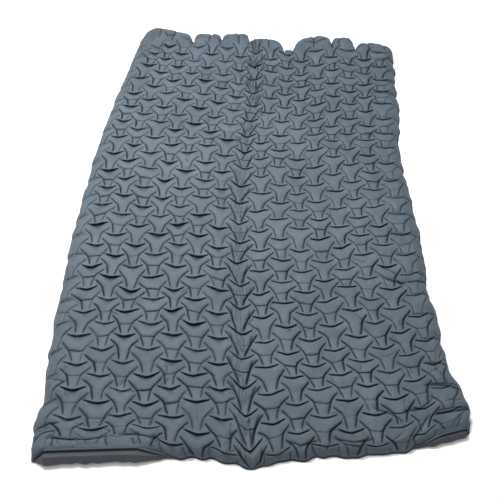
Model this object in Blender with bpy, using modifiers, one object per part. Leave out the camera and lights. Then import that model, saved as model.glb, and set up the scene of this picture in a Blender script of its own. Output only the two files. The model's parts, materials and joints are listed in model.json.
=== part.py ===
"""Two-person air pad lying slack on the ground, top face up, head end towards +Y.

The origin is on the ground under the middle of the pad. The pad is one air chamber between a top sheet and
a bottom sheet, welded together around the edge. It folds in half along a lengthwise crease, so each sheet is
modelled as a left half, a right half and the narrow fold band that bends between them. A flat two-way valve
sits in a dished patch in the underside, near the left corner of the head end.
"""

import math

import bmesh
import bpy
from mathutils import Vector

# Driving dimensions, in metres
PAD_HEIGHT = 0.042
FABRIC = 0.0003
GAP = 0.0003
WELD_FLANGE = 0.010
EDGE_RADIUS = 0.048
FOLD_X = -0.010
FOLD_BAND_HALF_WIDTH = 0.040
FOLD_AXIS_Z = 0.0455

# The outline as it lies. Side edges are (y, x); end edges are (x, y).
LEFT_EDGE = (
    (-0.940, -0.655),
    (-0.600, -0.665),
    (-0.100, -0.667),
    (0.210, -0.660),
    (0.500, -0.625),
    (0.955, -0.505),
)
RIGHT_EDGE = (
    (-0.860, 0.655),
    (-0.780, 0.667),
    (-0.530, 0.625),
    (-0.100, 0.607),
    (0.210, 0.597),
    (0.520, 0.620),
    (0.880, 0.650),
)
FOOT_END = (
    (-0.655, -0.938),
    (-0.300, -0.928),
    (-0.110, -0.930),
    (-0.010, -0.955),
    (0.100, -0.932),
    (0.400, -0.915),
    (0.655, -0.860),
)
HEAD_END = (
    (-0.505, 0.955),
    (-0.250, 0.940),
    (0.000, 0.915),
    (0.190, 0.885),
    (0.330, 0.910),
    (0.650, 0.885),
)

# Sheet grids
OUTER_COLUMN_X = 0.655
INNER_COLUMN_X = 0.055
SIDE_COLUMNS = 8
BAND_COLUMNS = 4
LENGTH_ROWS = 22
EDGE_STEPS = (0.0, 0.010, 0.017, 0.030, 0.048)

# Valve, in metres. Radii are from the valve's centre line and heights are from the ground.
VALVE_X = -0.400
VALVE_Y = 0.800
SHEET_HOLE_RADIUS = 0.038
PATCH_RADIUS = 0.048
PATCH_FOOT_RADIUS = 0.036
PATCH_CREST_RADIUS = 0.028
PATCH_CREST_Z = 0.0098
PATCH_THICKNESS = 0.0004
BASE_FLANGE_RADIUS = 0.0275
SOCKET_OUTER_RADIUS = 0.0173
SOCKET_BORE_RADIUS = 0.0153
SOCKET_MOUTH_Z = 0.0059
BASE_TOP_Z = 0.0113
COLLAR_OUTER_RADIUS = 0.0192
COLLAR_LOW_Z = 0.0070
COLLAR_HIGH_Z = 0.0086
PLUG_FLANGE_RADIUS = 0.0190
PLUG_FACE_Z = 0.0037
PLUG_FLANGE_TOP_Z = 0.0056
PLUG_BARREL_RADIUS = 0.0146
PLUG_BORE_RADIUS = 0.0116
SEAT_LOW_Z = 0.0108
SEAT_HIGH_Z = 0.0120
SEAL_GROOVE_RADIUS = 0.0138
SEAL_RADIUS = 0.01455
SEAL_WIRE_RADIUS = 0.00045
SEAL_Z = 0.0083
STEM_HOLE_RADIUS = 0.0017
PORT_COUNT = 6
PORT_RADIUS = 0.0024
PORT_CIRCLE_RADIUS = 0.0066
CAP_RADIUS = 0.0160
CAP_FACE_Z = 0.0012
CAP_RIM_Z = 0.0034
CAP_SKIRT_RADIUS = 0.0112
CAP_SKIRT_TOP_Z = 0.0064
CAP_WALL = 0.0014
CAP_EDGE_CHAMFER = 0.0006
CAP_TAB_REACH = 0.0040
CAP_HINGE_RADIUS = 0.0200
CAP_HINGE_Z = 0.00355
PLUG_HINGE_RADIUS = 0.0240
PLUG_HINGE_Z = 0.00575
STRAP_WIDTH = 0.0080
STRAP_THICKNESS = 0.0012
STRAP_OVERLAP = 0.0015
STRAP_END = 0.0008
HINGE_SLACK = 0.0006
FLAP_RADIUS = 0.0096
FLAP_LOW_Z = 0.0123
FLAP_HIGH_Z = 0.0131
STEM_RADIUS = 0.00135
STEM_BULB_RADIUS = 0.0023
STEM_BULB_Z = 0.0092
STEM_TIP_RADIUS = 0.0016
STEM_TIP_Z = 0.0078
TURN_STEPS = 48

FABRIC_BLUE_GREY = (0.105, 0.135, 0.155, 1.0)
UNDERSIDE_CHARCOAL = (0.060, 0.060, 0.078, 1.0)
VALVE_BLACK = (0.030, 0.032, 0.036, 1.0)
SILICONE_GREY = (0.330, 0.340, 0.350, 1.0)


def clear_scene():
    """Empties the file, so that the script can run again in Blender's text editor."""
    for item in list(bpy.data.objects):
        bpy.data.objects.remove(item, do_unlink=True)


def new_collection(name):
    collection = bpy.data.collections.new(name)
    bpy.context.scene.collection.children.link(collection)
    return collection


def material(name, colour, roughness):
    made = bpy.data.materials.new(name)
    made.use_nodes = True
    shader = made.node_tree.nodes["Principled BSDF"]
    shader.inputs["Base Color"].default_value = colour
    shader.inputs["Roughness"].default_value = roughness
    shader.inputs["Metallic"].default_value = 0.0
    return made


def add_object(name, mesh, collection, colour, roughness):
    """Links a mesh as a named sub-part with a material of its own."""
    part = bpy.data.objects.new(name, mesh)
    collection.objects.link(part)
    mesh.materials.append(material(name + "_material", colour, roughness))
    return part


def smooth_through(points, t):
    """Value at t of a smooth curve through (t, value) points, held flat past its ends."""
    if t <= points[0][0]:
        return points[0][1]
    if t >= points[-1][0]:
        return points[-1][1]
    right = next(i for i, point in enumerate(points) if point[0] >= t)
    (t0, v0), (t1, v1) = points[right - 1], points[right]
    before = points[max(right - 2, 0)]
    after = points[min(right + 1, len(points) - 1)]
    slope0 = (v1 - before[1]) / (t1 - before[0])
    slope1 = (after[1] - v0) / (after[0] - t0)
    span = t1 - t0
    s = (t - t0) / span
    return (
        v0 * (2 * s**3 - 3 * s**2 + 1)
        + v1 * (3 * s**2 - 2 * s**3)
        + slope0 * span * (s**3 - 2 * s**2 + s)
        + slope1 * span * (s**3 - s**2)
    )


def graded_steps(length, count, graded_ends):
    """Distances from 0 to length: fine at each graded end, where the sheet turns down, and even between."""
    start = list(EDGE_STEPS) if graded_ends[0] else [0.0]
    finish = [length - step for step in reversed(EDGE_STEPS)] if graded_ends[1] else [length]
    low, high = start[-1], finish[0]
    middle = [low + (high - low) * i / count for i in range(1, count)]
    return start + middle + finish


def rounded_corner(side, end):
    """Moves a point in the corner square onto a quarter disc; side and end are distances in from the edges."""
    p = max(0.0, 1.0 - side / EDGE_RADIUS)
    q = max(0.0, 1.0 - end / EDGE_RADIUS)
    if p == 0.0 or q == 0.0:
        return side, end, EDGE_RADIUS * (1.0 - max(p, q))
    p_round = p * math.sqrt(1.0 - q * q / 2.0)
    q_round = q * math.sqrt(1.0 - p * p / 2.0)
    inset = EDGE_RADIUS * (1.0 - math.hypot(p_round, q_round))
    return EDGE_RADIUS * (1.0 - p_round), EDGE_RADIUS * (1.0 - q_round), inset


def shoulder_height(inset):
    """Top sheet's height at a distance in from the outline: flat weld flange, then a round shoulder."""
    flange_z = 2 * FABRIC + GAP
    rise = min(1.0, max(0.0, (inset - WELD_FLANGE) / (EDGE_RADIUS - WELD_FLANGE)))
    return flange_z + (PAD_HEIGHT - flange_z) * math.sin(math.pi / 2 * rise) ** 0.7


def sheet_mesh(name, side, domed):
    """Grid over one strip of the pad: side -1 left half, +1 right half, 0 the fold band between them."""
    outer_edge = LEFT_EDGE if side < 0 else RIGHT_EDGE
    if side == 0:
        half = FOLD_BAND_HALF_WIDTH
        across = [-half + 2 * half * i / BAND_COLUMNS for i in range(BAND_COLUMNS + 1)]
        columns = [(offset, None) for offset in across]
    else:
        reach = abs(smooth_through(outer_edge, 0.0) - FOLD_X) - FOLD_BAND_HALF_WIDTH - GAP
        columns = [(None, inset / reach) for inset in graded_steps(reach, SIDE_COLUMNS, (True, False))]
    mesh = bpy.data.meshes.new(name)
    bm = bmesh.new()
    vertices = []
    for offset, share in columns:
        line = []
        if side == 0:
            nominal_x = FOLD_X + offset
        else:
            nominal_x = side * (OUTER_COLUMN_X + (INNER_COLUMN_X - OUTER_COLUMN_X) * share)
        foot_y = smooth_through(FOOT_END, nominal_x)
        head_y = smooth_through(HEAD_END, nominal_x)
        rows = graded_steps(head_y - foot_y, LENGTH_ROWS, (True, True))
        for distance in rows:
            y = foot_y + distance
            from_end = min(distance, head_y - y)
            if side == 0:
                x, inset = FOLD_X + offset, min(from_end, EDGE_RADIUS)
            else:
                edge_x = smooth_through(outer_edge, y)
                inner_x = FOLD_X + side * (FOLD_BAND_HALF_WIDTH + GAP)
                from_side = share * abs(edge_x - inner_x)
                moved_side, moved_end, inset = rounded_corner(from_side, from_end)
                x = edge_x - side * moved_side
                y = foot_y + moved_end if distance < head_y - y else head_y - moved_end
            z = shoulder_height(inset) if domed else FABRIC
            line.append(bm.verts.new((x, y, z)))
        vertices.append(line)
    for left, right in zip(vertices, vertices[1:]):
        for i in range(len(left) - 1):
            bm.faces.new((left[i], right[i], right[i + 1], left[i + 1]))
    bmesh.ops.recalc_face_normals(bm, faces=bm.faces)
    if sum(face.normal.z for face in bm.faces) < 0:
        bmesh.ops.reverse_faces(bm, faces=bm.faces)
    bm.to_mesh(mesh)
    bm.free()
    return mesh


def fabric_sheet(name, side, domed, collection):
    colour = FABRIC_BLUE_GREY if domed else UNDERSIDE_CHARCOAL
    sheet = add_object(name, sheet_mesh(name, side, domed), collection, colour, 0.72)
    solidify = sheet.modifiers.new("fabric_thickness", "SOLIDIFY")
    solidify.thickness = FABRIC
    solidify.offset = -1.0
    sheet.data.shade_smooth()
    return sheet


def turned_piece(name, profile, closed, collection, colour, roughness):
    """Turns an (radius, height) profile about the valve's centre line."""
    bm = bmesh.new()
    corners = [bm.verts.new((radius, 0.0, z)) for radius, z in profile]
    for a, b in zip(corners, corners[1:]):
        bm.edges.new((a, b))
    if closed:
        bm.edges.new((corners[-1], corners[0]))
    mesh = bpy.data.meshes.new(name)
    bm.to_mesh(mesh)
    bm.free()
    part = add_object(name, mesh, collection, colour, roughness)
    part.location = (VALVE_X, VALVE_Y, 0.0)
    screw = part.modifiers.new("turn", "SCREW")
    screw.axis = "Z"
    screw.steps = TURN_STEPS
    screw.render_steps = TURN_STEPS
    screw.use_merge_vertices = True
    screw.merge_threshold = 0.00001
    screw.use_smooth_shade = True
    return part


def box_cutter(name, low, high, collection):
    """Box between two corners, as a guide for a Boolean."""
    bpy.ops.mesh.primitive_cube_add(size=1.0)
    return hidden_guide(name, (Vector(low) + Vector(high)) / 2, Vector(high) - Vector(low), collection)


def cylinder_cutter(name, radius, low_z, high_z, centre, collection):
    """Upright cylinder, as a guide for a Boolean."""
    bpy.ops.mesh.primitive_cylinder_add(radius=radius, depth=1.0, vertices=TURN_STEPS)
    middle = Vector((centre[0], centre[1], (low_z + high_z) / 2))
    return hidden_guide(name, middle, Vector((1.0, 1.0, high_z - low_z)), collection)


def hidden_guide(name, middle, scale, collection):
    guide = bpy.context.object
    guide.name = name
    for vertex in guide.data.vertices:
        vertex.co = Vector(a * b for a, b in zip(vertex.co, scale))
    guide.location = middle
    for linked in list(guide.users_collection):
        linked.objects.unlink(guide)
    collection.objects.link(guide)
    guide.hide_render = True
    guide.display_type = "WIRE"
    return guide


def combine(part, guide, operation):
    boolean = part.modifiers.new(operation.lower() + "_" + guide.name, "BOOLEAN")
    boolean.operation = operation
    boolean.solver = "EXACT"
    boolean.object = guide


def joint_empty(name, position, children, collection):
    """Empty on a joint's axis that carries the pieces that turn about it."""
    empty = bpy.data.objects.new(name, None)
    empty.empty_display_size = 0.02
    empty.location = position
    collection.objects.link(empty)
    bpy.context.view_layer.update()
    for child in children:
        world = child.matrix_world.copy()
        child.parent = empty
        child.matrix_parent_inverse = empty.matrix_world.inverted()
        child.matrix_world = world
    return empty


def valve_point(across, along, z):
    """Point in the part's frame from offsets from the valve's centre line."""
    return (VALVE_X + across, VALVE_Y + along, z)


def build_sheets(parts, guides):
    names = ((-1, "left"), (0, "fold_band"), (1, "right"))
    sheets = {}
    for side, word in names:
        sheets["top", side] = fabric_sheet(word + "_top_sheet", side, True, parts)
        sheets["bottom", side] = fabric_sheet(word + "_bottom_sheet", side, False, parts)
    valve_hole = cylinder_cutter(
        "valve_hole_guide", SHEET_HOLE_RADIUS, -0.001, 0.001, (VALVE_X, VALVE_Y), guides
    )
    combine(sheets["bottom", -1], valve_hole, "DIFFERENCE")
    return sheets


def build_valve_patch(parts):
    """Dished ring of laminated fabric welded inside the bottom sheet, to lift the valve off the ground."""
    low = FABRIC + GAP
    hole = SOCKET_OUTER_RADIUS + 0.0005
    profile = (
        (PATCH_CREST_RADIUS, PATCH_CREST_Z),
        (PATCH_FOOT_RADIUS + PATCH_THICKNESS, low + PATCH_THICKNESS),
        (PATCH_RADIUS, low + PATCH_THICKNESS),
        (PATCH_RADIUS, low),
        (PATCH_FOOT_RADIUS, low),
        (PATCH_CREST_RADIUS - PATCH_THICKNESS, PATCH_CREST_Z - PATCH_THICKNESS),
        (hole, PATCH_CREST_Z - PATCH_THICKNESS),
        (hole, PATCH_CREST_Z),
    )
    return turned_piece("valve_patch", profile, True, parts, UNDERSIDE_CHARCOAL, 0.7)


def build_valve_base(parts):
    """Moulded socket with a flange welded to the patch."""
    flange_low = PATCH_CREST_Z + GAP
    profile = (
        (BASE_FLANGE_RADIUS, BASE_TOP_Z),
        (BASE_FLANGE_RADIUS, flange_low),
        (SOCKET_OUTER_RADIUS, flange_low),
        (SOCKET_OUTER_RADIUS, SOCKET_MOUTH_Z),
        (SOCKET_BORE_RADIUS, SOCKET_MOUTH_Z),
        (SOCKET_BORE_RADIUS, BASE_TOP_Z),
    )
    return turned_piece("valve_base", profile, True, parts, VALVE_BLACK, 0.45)


def build_plug_tether(parts, guides):
    """Collar around the socket with a short arm that ends at the deflate plug's hinge line."""
    inner = SOCKET_OUTER_RADIUS + GAP
    profile = (
        (COLLAR_OUTER_RADIUS, COLLAR_HIGH_Z),
        (COLLAR_OUTER_RADIUS, COLLAR_LOW_Z),
        (inner, COLLAR_LOW_Z),
        (inner, COLLAR_HIGH_Z),
    )
    collar = turned_piece("plug_tether", profile, True, parts, VALVE_BLACK, 0.5)
    half = STRAP_WIDTH / 2
    tip = -PLUG_HINGE_RADIUS - STRAP_END
    arm_low_z = COLLAR_LOW_Z + 0.0002
    arm_high_z = arm_low_z + STRAP_THICKNESS
    arm = box_cutter(
        "plug_tether_arm_guide",
        valve_point(-half, tip, arm_low_z),
        valve_point(half, -COLLAR_OUTER_RADIUS + STRAP_OVERLAP / 2, arm_high_z),
        guides,
    )
    drop = box_cutter(
        "plug_tether_end_guide",
        valve_point(-half, tip, arm_low_z - 0.0010),
        valve_point(half, -PLUG_HINGE_RADIUS + HINGE_SLACK, arm_high_z - 0.0004),
        guides,
    )
    combine(collar, arm, "UNION")
    combine(collar, drop, "UNION")
    return collar


def build_deflate_plug(parts, guides):
    """Wide plug: barrel with a seal groove, ported valve seat across it, and an ear to its hinge line."""
    groove_low = SEAL_Z - SEAL_WIRE_RADIUS - GAP
    groove_high = SEAL_Z + SEAL_WIRE_RADIUS + GAP
    profile = (
        (PLUG_BARREL_RADIUS, SEAT_HIGH_Z),
        (PLUG_BARREL_RADIUS, groove_high),
        (SEAL_GROOVE_RADIUS, groove_high),
        (SEAL_GROOVE_RADIUS, groove_low),
        (PLUG_BARREL_RADIUS, groove_low),
        (PLUG_BARREL_RADIUS, PLUG_FLANGE_TOP_Z),
        (PLUG_FLANGE_RADIUS, PLUG_FLANGE_TOP_Z),
        (PLUG_FLANGE_RADIUS, PLUG_FACE_Z),
        (PLUG_BORE_RADIUS, PLUG_FACE_Z),
        (PLUG_BORE_RADIUS, SEAT_LOW_Z),
        (STEM_HOLE_RADIUS, SEAT_LOW_Z),
        (STEM_HOLE_RADIUS, SEAT_HIGH_Z),
    )
    plug = turned_piece("deflate_plug", profile, True, parts, VALVE_BLACK, 0.45)
    for i in range(PORT_COUNT):
        angle = 2 * math.pi * (i + 0.5) / PORT_COUNT
        centre = valve_point(PORT_CIRCLE_RADIUS * math.cos(angle), PORT_CIRCLE_RADIUS * math.sin(angle), 0.0)
        name = "air_port_guide_" + str(i + 1)
        port = cylinder_cutter(name, PORT_RADIUS, SEAT_LOW_Z - 0.0008, SEAT_HIGH_Z + 0.0010, centre, guides)
        combine(plug, port, "DIFFERENCE")
    half = STRAP_WIDTH / 2
    ear = box_cutter(
        "plug_ear_guide",
        valve_point(-half, -PLUG_HINGE_RADIUS + HINGE_SLACK, PLUG_FACE_Z + 0.0002),
        valve_point(half, -PLUG_FLANGE_RADIUS + STRAP_OVERLAP, PLUG_FLANGE_TOP_Z - 0.0004),
        guides,
    )
    combine(plug, ear, "UNION")
    return plug


def build_seal_ring(parts):
    """Silicone ring in the plug's groove."""
    count = 10
    profile = []
    for i in range(count):
        angle = math.pi / 2 - 2 * math.pi * i / count
        radius = SEAL_RADIUS + SEAL_WIRE_RADIUS * math.cos(angle)
        profile.append((radius, SEAL_Z + SEAL_WIRE_RADIUS * math.sin(angle)))
    return turned_piece("plug_seal_ring", profile, True, parts, SILICONE_GREY, 0.4)


def build_cap_tether(parts):
    """Short strap end on the plug's flange, which reaches the cap's hinge line."""
    half = STRAP_WIDTH / 2
    low = Vector(valve_point(-half, PLUG_FLANGE_RADIUS + GAP, PLUG_FACE_Z + GAP))
    high = Vector(valve_point(half, CAP_HINGE_RADIUS + STRAP_THICKNESS, PLUG_FLANGE_TOP_Z - 0.0002))
    bpy.ops.mesh.primitive_cube_add(size=1.0)
    block = bpy.context.object
    mesh = block.data
    for vertex in mesh.vertices:
        vertex.co = Vector(a * b for a, b in zip(vertex.co, high - low))
    bpy.data.objects.remove(block, do_unlink=True)
    strap = add_object("cap_tether", mesh, parts, VALVE_BLACK, 0.5)
    strap.location = (low + high) / 2
    bevel = strap.modifiers.new("soft_edges", "BEVEL")
    bevel.width = 0.0002
    bevel.segments = 2
    return strap


def build_inflate_cap(parts, guides):
    """Cap that closes the plug's bore, with a finger tab and an ear to its hinge line."""
    inner_radius = CAP_SKIRT_RADIUS - CAP_WALL - 0.0002
    profile = (
        (0.0, CAP_FACE_Z + CAP_WALL),
        (inner_radius, CAP_FACE_Z + CAP_WALL),
        (inner_radius, CAP_SKIRT_TOP_Z),
        (CAP_SKIRT_RADIUS, CAP_SKIRT_TOP_Z),
        (CAP_SKIRT_RADIUS, CAP_RIM_Z),
        (CAP_RADIUS, CAP_RIM_Z),
        (CAP_RADIUS, CAP_FACE_Z + CAP_EDGE_CHAMFER),
        (CAP_RADIUS - CAP_EDGE_CHAMFER, CAP_FACE_Z),
        (0.0, CAP_FACE_Z),
    )
    cap = turned_piece("inflate_cap", profile, False, parts, VALVE_BLACK, 0.4)
    half = STRAP_WIDTH / 2
    tab = box_cutter(
        "cap_tab_guide",
        valve_point(-half, -CAP_RADIUS - CAP_TAB_REACH, CAP_FACE_Z + 0.0001),
        valve_point(half, -CAP_RADIUS + STRAP_OVERLAP, CAP_FACE_Z + 0.0001 + STRAP_THICKNESS),
        guides,
    )
    ear = box_cutter(
        "cap_ear_guide",
        valve_point(-half, CAP_RADIUS - STRAP_OVERLAP, CAP_FACE_Z + 0.0002),
        valve_point(half, CAP_HINGE_RADIUS - HINGE_SLACK, CAP_FACE_Z + 0.0002 + STRAP_THICKNESS),
        guides,
    )
    combine(cap, tab, "UNION")
    combine(cap, ear, "UNION")
    return cap


def build_diaphragm(parts):
    """Silicone check flap: a disc over the ports, held by a stem through the seat."""
    profile = (
        (0.0, FLAP_HIGH_Z),
        (FLAP_RADIUS, FLAP_HIGH_Z),
        (FLAP_RADIUS, FLAP_LOW_Z),
        (STEM_RADIUS, FLAP_LOW_Z),
        (STEM_RADIUS, STEM_BULB_Z),
        (STEM_BULB_RADIUS, STEM_BULB_Z),
        (STEM_TIP_RADIUS, STEM_TIP_Z),
        (0.0, STEM_TIP_Z),
    )
    return turned_piece("check_diaphragm", profile, False, parts, SILICONE_GREY, 0.4)


def main():
    clear_scene()
    parts = new_collection("inflatable_sleeping_pad")
    guides = new_collection("construction_guides")
    sheets = build_sheets(parts, guides)
    patch = build_valve_patch(parts)
    base = build_valve_base(parts)
    plug_tether = build_plug_tether(parts, guides)
    plug = build_deflate_plug(parts, guides)
    seal = build_seal_ring(parts)
    cap_tether = build_cap_tether(parts)
    cap = build_inflate_cap(parts, guides)
    diaphragm = build_diaphragm(parts)

    cap_axis = joint_empty(
        "inflate_cap_axis", valve_point(0.0, CAP_HINGE_RADIUS, CAP_HINGE_Z), [cap], parts
    )
    lift_axis = joint_empty("diaphragm_axis", valve_point(0.0, 0.0, SEAT_HIGH_Z), [diaphragm], parts)
    plug_axis = joint_empty(
        "deflate_plug_axis",
        valve_point(0.0, -PLUG_HINGE_RADIUS, PLUG_HINGE_Z),
        [plug, seal, cap_tether, cap_axis, lift_axis],
        parts,
    )
    left_side = [sheets["top", -1], sheets["bottom", -1], patch, base, plug_tether, plug_axis]
    joint_empty("centre_fold_axis", (FOLD_X, 0.0, FOLD_AXIS_Z), left_side, parts)


main()
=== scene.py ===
"""Visual model of the slack two-person air pad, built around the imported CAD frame.

The quilting is a hexagonal lattice of three-armed cells. The cells meet at short curved welds, which pull the
top sheet down into dark creases. One tile of that lattice is triangulated along its welds, repeated over the
pad, given its relief and then laid over the pad's outline and rounded edge.
"""

import json
import math

import bmesh
import bpy
import numpy as np
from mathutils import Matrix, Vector
from mathutils.geometry import delaunay_2d_cdt


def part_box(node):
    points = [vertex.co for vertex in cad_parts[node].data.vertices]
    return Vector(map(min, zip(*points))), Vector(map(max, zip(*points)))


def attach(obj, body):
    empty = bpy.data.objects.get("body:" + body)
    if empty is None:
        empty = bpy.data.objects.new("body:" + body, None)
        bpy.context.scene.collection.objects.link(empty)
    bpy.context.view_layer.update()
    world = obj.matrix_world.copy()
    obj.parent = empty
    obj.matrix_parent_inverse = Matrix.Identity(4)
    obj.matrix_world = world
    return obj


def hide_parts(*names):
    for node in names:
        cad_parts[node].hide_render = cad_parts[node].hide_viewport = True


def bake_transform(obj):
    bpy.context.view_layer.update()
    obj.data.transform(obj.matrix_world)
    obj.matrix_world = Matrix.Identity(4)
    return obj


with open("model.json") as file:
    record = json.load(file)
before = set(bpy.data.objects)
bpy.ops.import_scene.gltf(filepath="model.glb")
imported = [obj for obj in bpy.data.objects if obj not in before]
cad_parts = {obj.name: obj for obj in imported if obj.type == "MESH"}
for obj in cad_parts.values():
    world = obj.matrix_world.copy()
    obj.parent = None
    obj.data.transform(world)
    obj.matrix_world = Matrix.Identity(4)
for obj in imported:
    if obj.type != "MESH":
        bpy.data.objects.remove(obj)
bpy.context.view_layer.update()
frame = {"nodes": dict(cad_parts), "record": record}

# ---------- dimensions
MM = 0.001
joints = frame["record"]["behaviour"]["joints"]
FOLD_X = next(joint["pos_m"][0] for joint in joints if joint["name"] == "centre_fold")
# The cloth lies a little below the CAD sheet's top, so the quilted faces don't cross when folded
CLOTH_DROP = 0.0032
SHEET_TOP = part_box("left_top_sheet")[1][2] - CLOTH_DROP
VALVE = sum((Vector(corner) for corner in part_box("valve_base")), Vector()) / 2
VALVE_HOLE = 0.038
# Room that the top pieces' inner face leaves over the valve, and the thickness of one cloth
VALVE_ROOM = 0.011
CLOTH = 0.0003
BAND_RIGHT = FOLD_X + 0.030
BAND_LEFT = FOLD_X - 0.070

# Outline as the slack pad lies, the same as the CAD sheets. Side edges are (y, x); end edges are (x, y).
LEFT_EDGE = (
    (-0.94, -0.655), (-0.6, -0.665), (-0.1, -0.667), (0.21, -0.66), (0.5, -0.625), (0.955, -0.505),
)
RIGHT_EDGE = (
    (-0.86, 0.655), (-0.78, 0.667), (-0.53, 0.625), (-0.1, 0.607), (0.21, 0.597), (0.52, 0.62),
    (0.88, 0.65),
)
FOOT_END = (
    (-0.655, -0.938), (-0.3, -0.928), (-0.11, -0.93), (-0.01, -0.955), (0.1, -0.932), (0.4, -0.915),
    (0.655, -0.86),
)
HEAD_END = (
    (-0.505, 0.955), (-0.25, 0.94), (0.0, 0.915), (0.19, 0.885), (0.33, 0.91), (0.65, 0.885),
)
# Where the middle column of cells runs: (y, x)
MIDDLE_LINE = (
    (-0.94, -0.004), (-0.61, -0.037), (-0.24, -0.051), (0.11, -0.041), (0.31, -0.025), (0.52, 0.004),
    (0.83, 0.014), (0.94, 0.02),
)

# How the visual model's edges stand proud of the CAD outline, as lumps with tucks between: (x, y) or (y, x)
HEAD_LUMPS = (
    (-0.52, 0.955), (-0.482, 1.006), (-0.458, 1.0215), (-0.4, 1.01), (-0.35, 0.992), (-0.31, 0.974),
    (-0.293, 0.966), (-0.281, 0.934), (-0.27, 0.97), (-0.255, 0.976), (-0.211, 0.976), (-0.165, 0.974),
    (-0.152, 0.968), (-0.144, 0.948), (-0.136, 0.964), (-0.12, 0.974), (-0.068, 0.982), (-0.035, 0.98),
    (-0.02, 0.97), (-0.012, 0.938), (-0.002, 0.936), (0.04, 0.94), (0.1, 0.934), (0.135, 0.905),
    (0.156, 0.868), (0.186, 0.868), (0.205, 0.905), (0.23, 0.932), (0.255, 0.945), (0.314, 0.962),
    (0.352, 0.956), (0.366, 0.95), (0.376, 0.926), (0.386, 0.944), (0.4, 0.95), (0.441, 0.95),
    (0.468, 0.938), (0.478, 0.918), (0.484, 0.872), (0.492, 0.892), (0.512, 0.902), (0.564, 0.906),
    (0.622, 0.89), (0.66, 0.862),
)
LEFT_LUMPS = (
    (-0.94, -0.655), (-0.858, -0.668), (-0.794, -0.668), (-0.764, -0.652), (-0.7, -0.664),
    (-0.571, -0.67), (-0.203, -0.672), (-0.021, -0.665), (0.291, -0.64), (0.534, -0.606), (0.7, -0.58),
    (0.869, -0.548), (1.0, -0.492),
)
RIGHT_LUMPS = (
    (-0.9, 0.63), (-0.855, 0.652), (-0.803, 0.67), (-0.73, 0.662), (-0.68, 0.636), (-0.54, 0.626),
    (-0.44, 0.622), (-0.372, 0.612), (-0.261, 0.622), (0.017, 0.616), (0.248, 0.609), (0.462, 0.637),
    (0.583, 0.646), (0.7, 0.657), (0.85, 0.662),
)

# Lattice. Rows are counted in cell heights and columns in column pitches, from the middle column.
CELL = 0.0839
COLUMN = math.sqrt(3) / 2
FIRST_COLUMN, LAST_COLUMN = -8.60, 9.17
FOOT_ROW, HEAD_ROW = -0.24, 22.09
# A weld, in cell heights: its middle's distance from the cell's centre, its bend outwards and half its length
WELD_RADIUS = 0.300
WELD_BEND = 0.115
WELD_KINK = 1.35
WELD_HALF = 0.45
# The crease across a cell's waist: half its length, drop below the cell's centre, sag of its middle
WAIST_HALF = 0.225
WAIST_DROP = 0.152
WAIST_SAG = 0.035

# Rounded edge: flat weld flange, then a quarter round that takes up more cloth than its width
FLANGE = 0.005
EDGE_RADIUS = 0.042
EDGE_ARC = 0.066
EDGE_SLACK = EDGE_ARC - EDGE_RADIUS
SEAM_Z = 0.0010
HEAD_FULLNESS = 0.6
# Painted shadow along the seam, on the cloth beside it and on its flange
SEAM_SHADE = 0.5
# How square each corner's seam is in plan: 2 would be a quarter circle. (side, end) with -1 for left and foot
CORNER_POWERS = {(-1, -1): 8.0, (1, -1): 5.0, (-1, 1): 10.0, (1, 1): 5.0}

# Where the foot seam is rolled up onto the pad: cloth distance from the seam against offset in and height
ROLL_REACH = 0.130
ROLL_SET_IN = 0.034
ROLL_TOP_Z = ((0.0, 0.0365), (0.020, 0.0384), (0.050, 0.0388))
ROLL_UNDER_IN = ((0.0, 0.034), (0.02, 0.012), (0.04, -0.006), (0.058, 0.006), (0.072, 0.024), (0.13, 0.111))
ROLL_UNDER_Z = ((0.0, 0.036), (0.020, 0.032), (0.040, 0.014), (0.058, 0.0), (0.130, 0.0))


# ---------- small maths
def smooth_through(points, t):
    """Values at t of a smooth curve through (t, value) points, held flat past its ends."""
    t = np.asarray(t, float)
    knots = np.array([p[0] for p in points])
    values = np.array([p[1] for p in points])
    last = len(knots) - 1
    right = np.clip(np.searchsorted(knots, t), 1, last)
    left = right - 1
    before, after = np.maximum(left - 1, 0), np.minimum(right + 1, last)
    slope0 = (values[right] - values[before]) / (knots[right] - knots[before])
    slope1 = (values[after] - values[left]) / (knots[after] - knots[left])
    span = knots[right] - knots[left]
    s = unit((t - knots[left]) / span)
    return (
        values[left] * (2 * s**3 - 3 * s**2 + 1)
        + values[right] * (3 * s**2 - 2 * s**3)
        + slope0 * span * (s**3 - 2 * s**2 + s)
        + slope1 * span * (s**3 - s**2)
    )


def unit(t):
    """t held between 0 and 1."""
    return np.clip(t, 0, 1)


def step(low, high, t):
    """Smooth rise from 0 at low to 1 at high."""
    s = unit((np.asarray(t, float) - low) / (high - low))
    return s * s * (3 - 2 * s)


def from_valve(x, y):
    """Level distance from the valve's axis."""
    return np.hypot(x - VALVE.x, y - VALVE.y)


def hump(t, middle, half_width):
    """Bell of height 1 round middle."""
    return np.exp(-(((t - middle) / half_width) ** 2))


class Ripple:
    """Smooth random field made of plane waves, about -1 to 1."""

    WAVES = 22
    LOUDNESS = 0.6

    def __init__(self, seed, wavelength):
        rng, waves = np.random.default_rng(seed), self.WAVES
        angle = rng.uniform(0, 2 * math.pi, waves)
        number = 2 * math.pi / (wavelength * rng.uniform(0.7, 1.5, waves))
        self.kx = number * np.cos(angle)
        self.ky = number * np.sin(angle)
        self.phase = rng.uniform(0, 2 * math.pi, waves)
        self.scale = math.sqrt(2.0 / waves)

    def __call__(self, x, y):
        total = np.zeros_like(np.asarray(x, float))
        for kx, ky, phase in zip(self.kx, self.ky, self.phase):
            total += np.sin(kx * x + ky * y + phase)
        return total * self.scale * self.LOUDNESS


# ---------- lattice tile
WELD_ANGLES = tuple(math.radians(a) for a in (90, 210, 330))
TILE_CENTRES = ((0.0, 0.5), (COLUMN, 0.0))
TILE_WIDTH = 2 * COLUMN
WAIST_LINES = (0.0, -0.016, 0.016)
WAIST_STATIONS = 7
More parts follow.
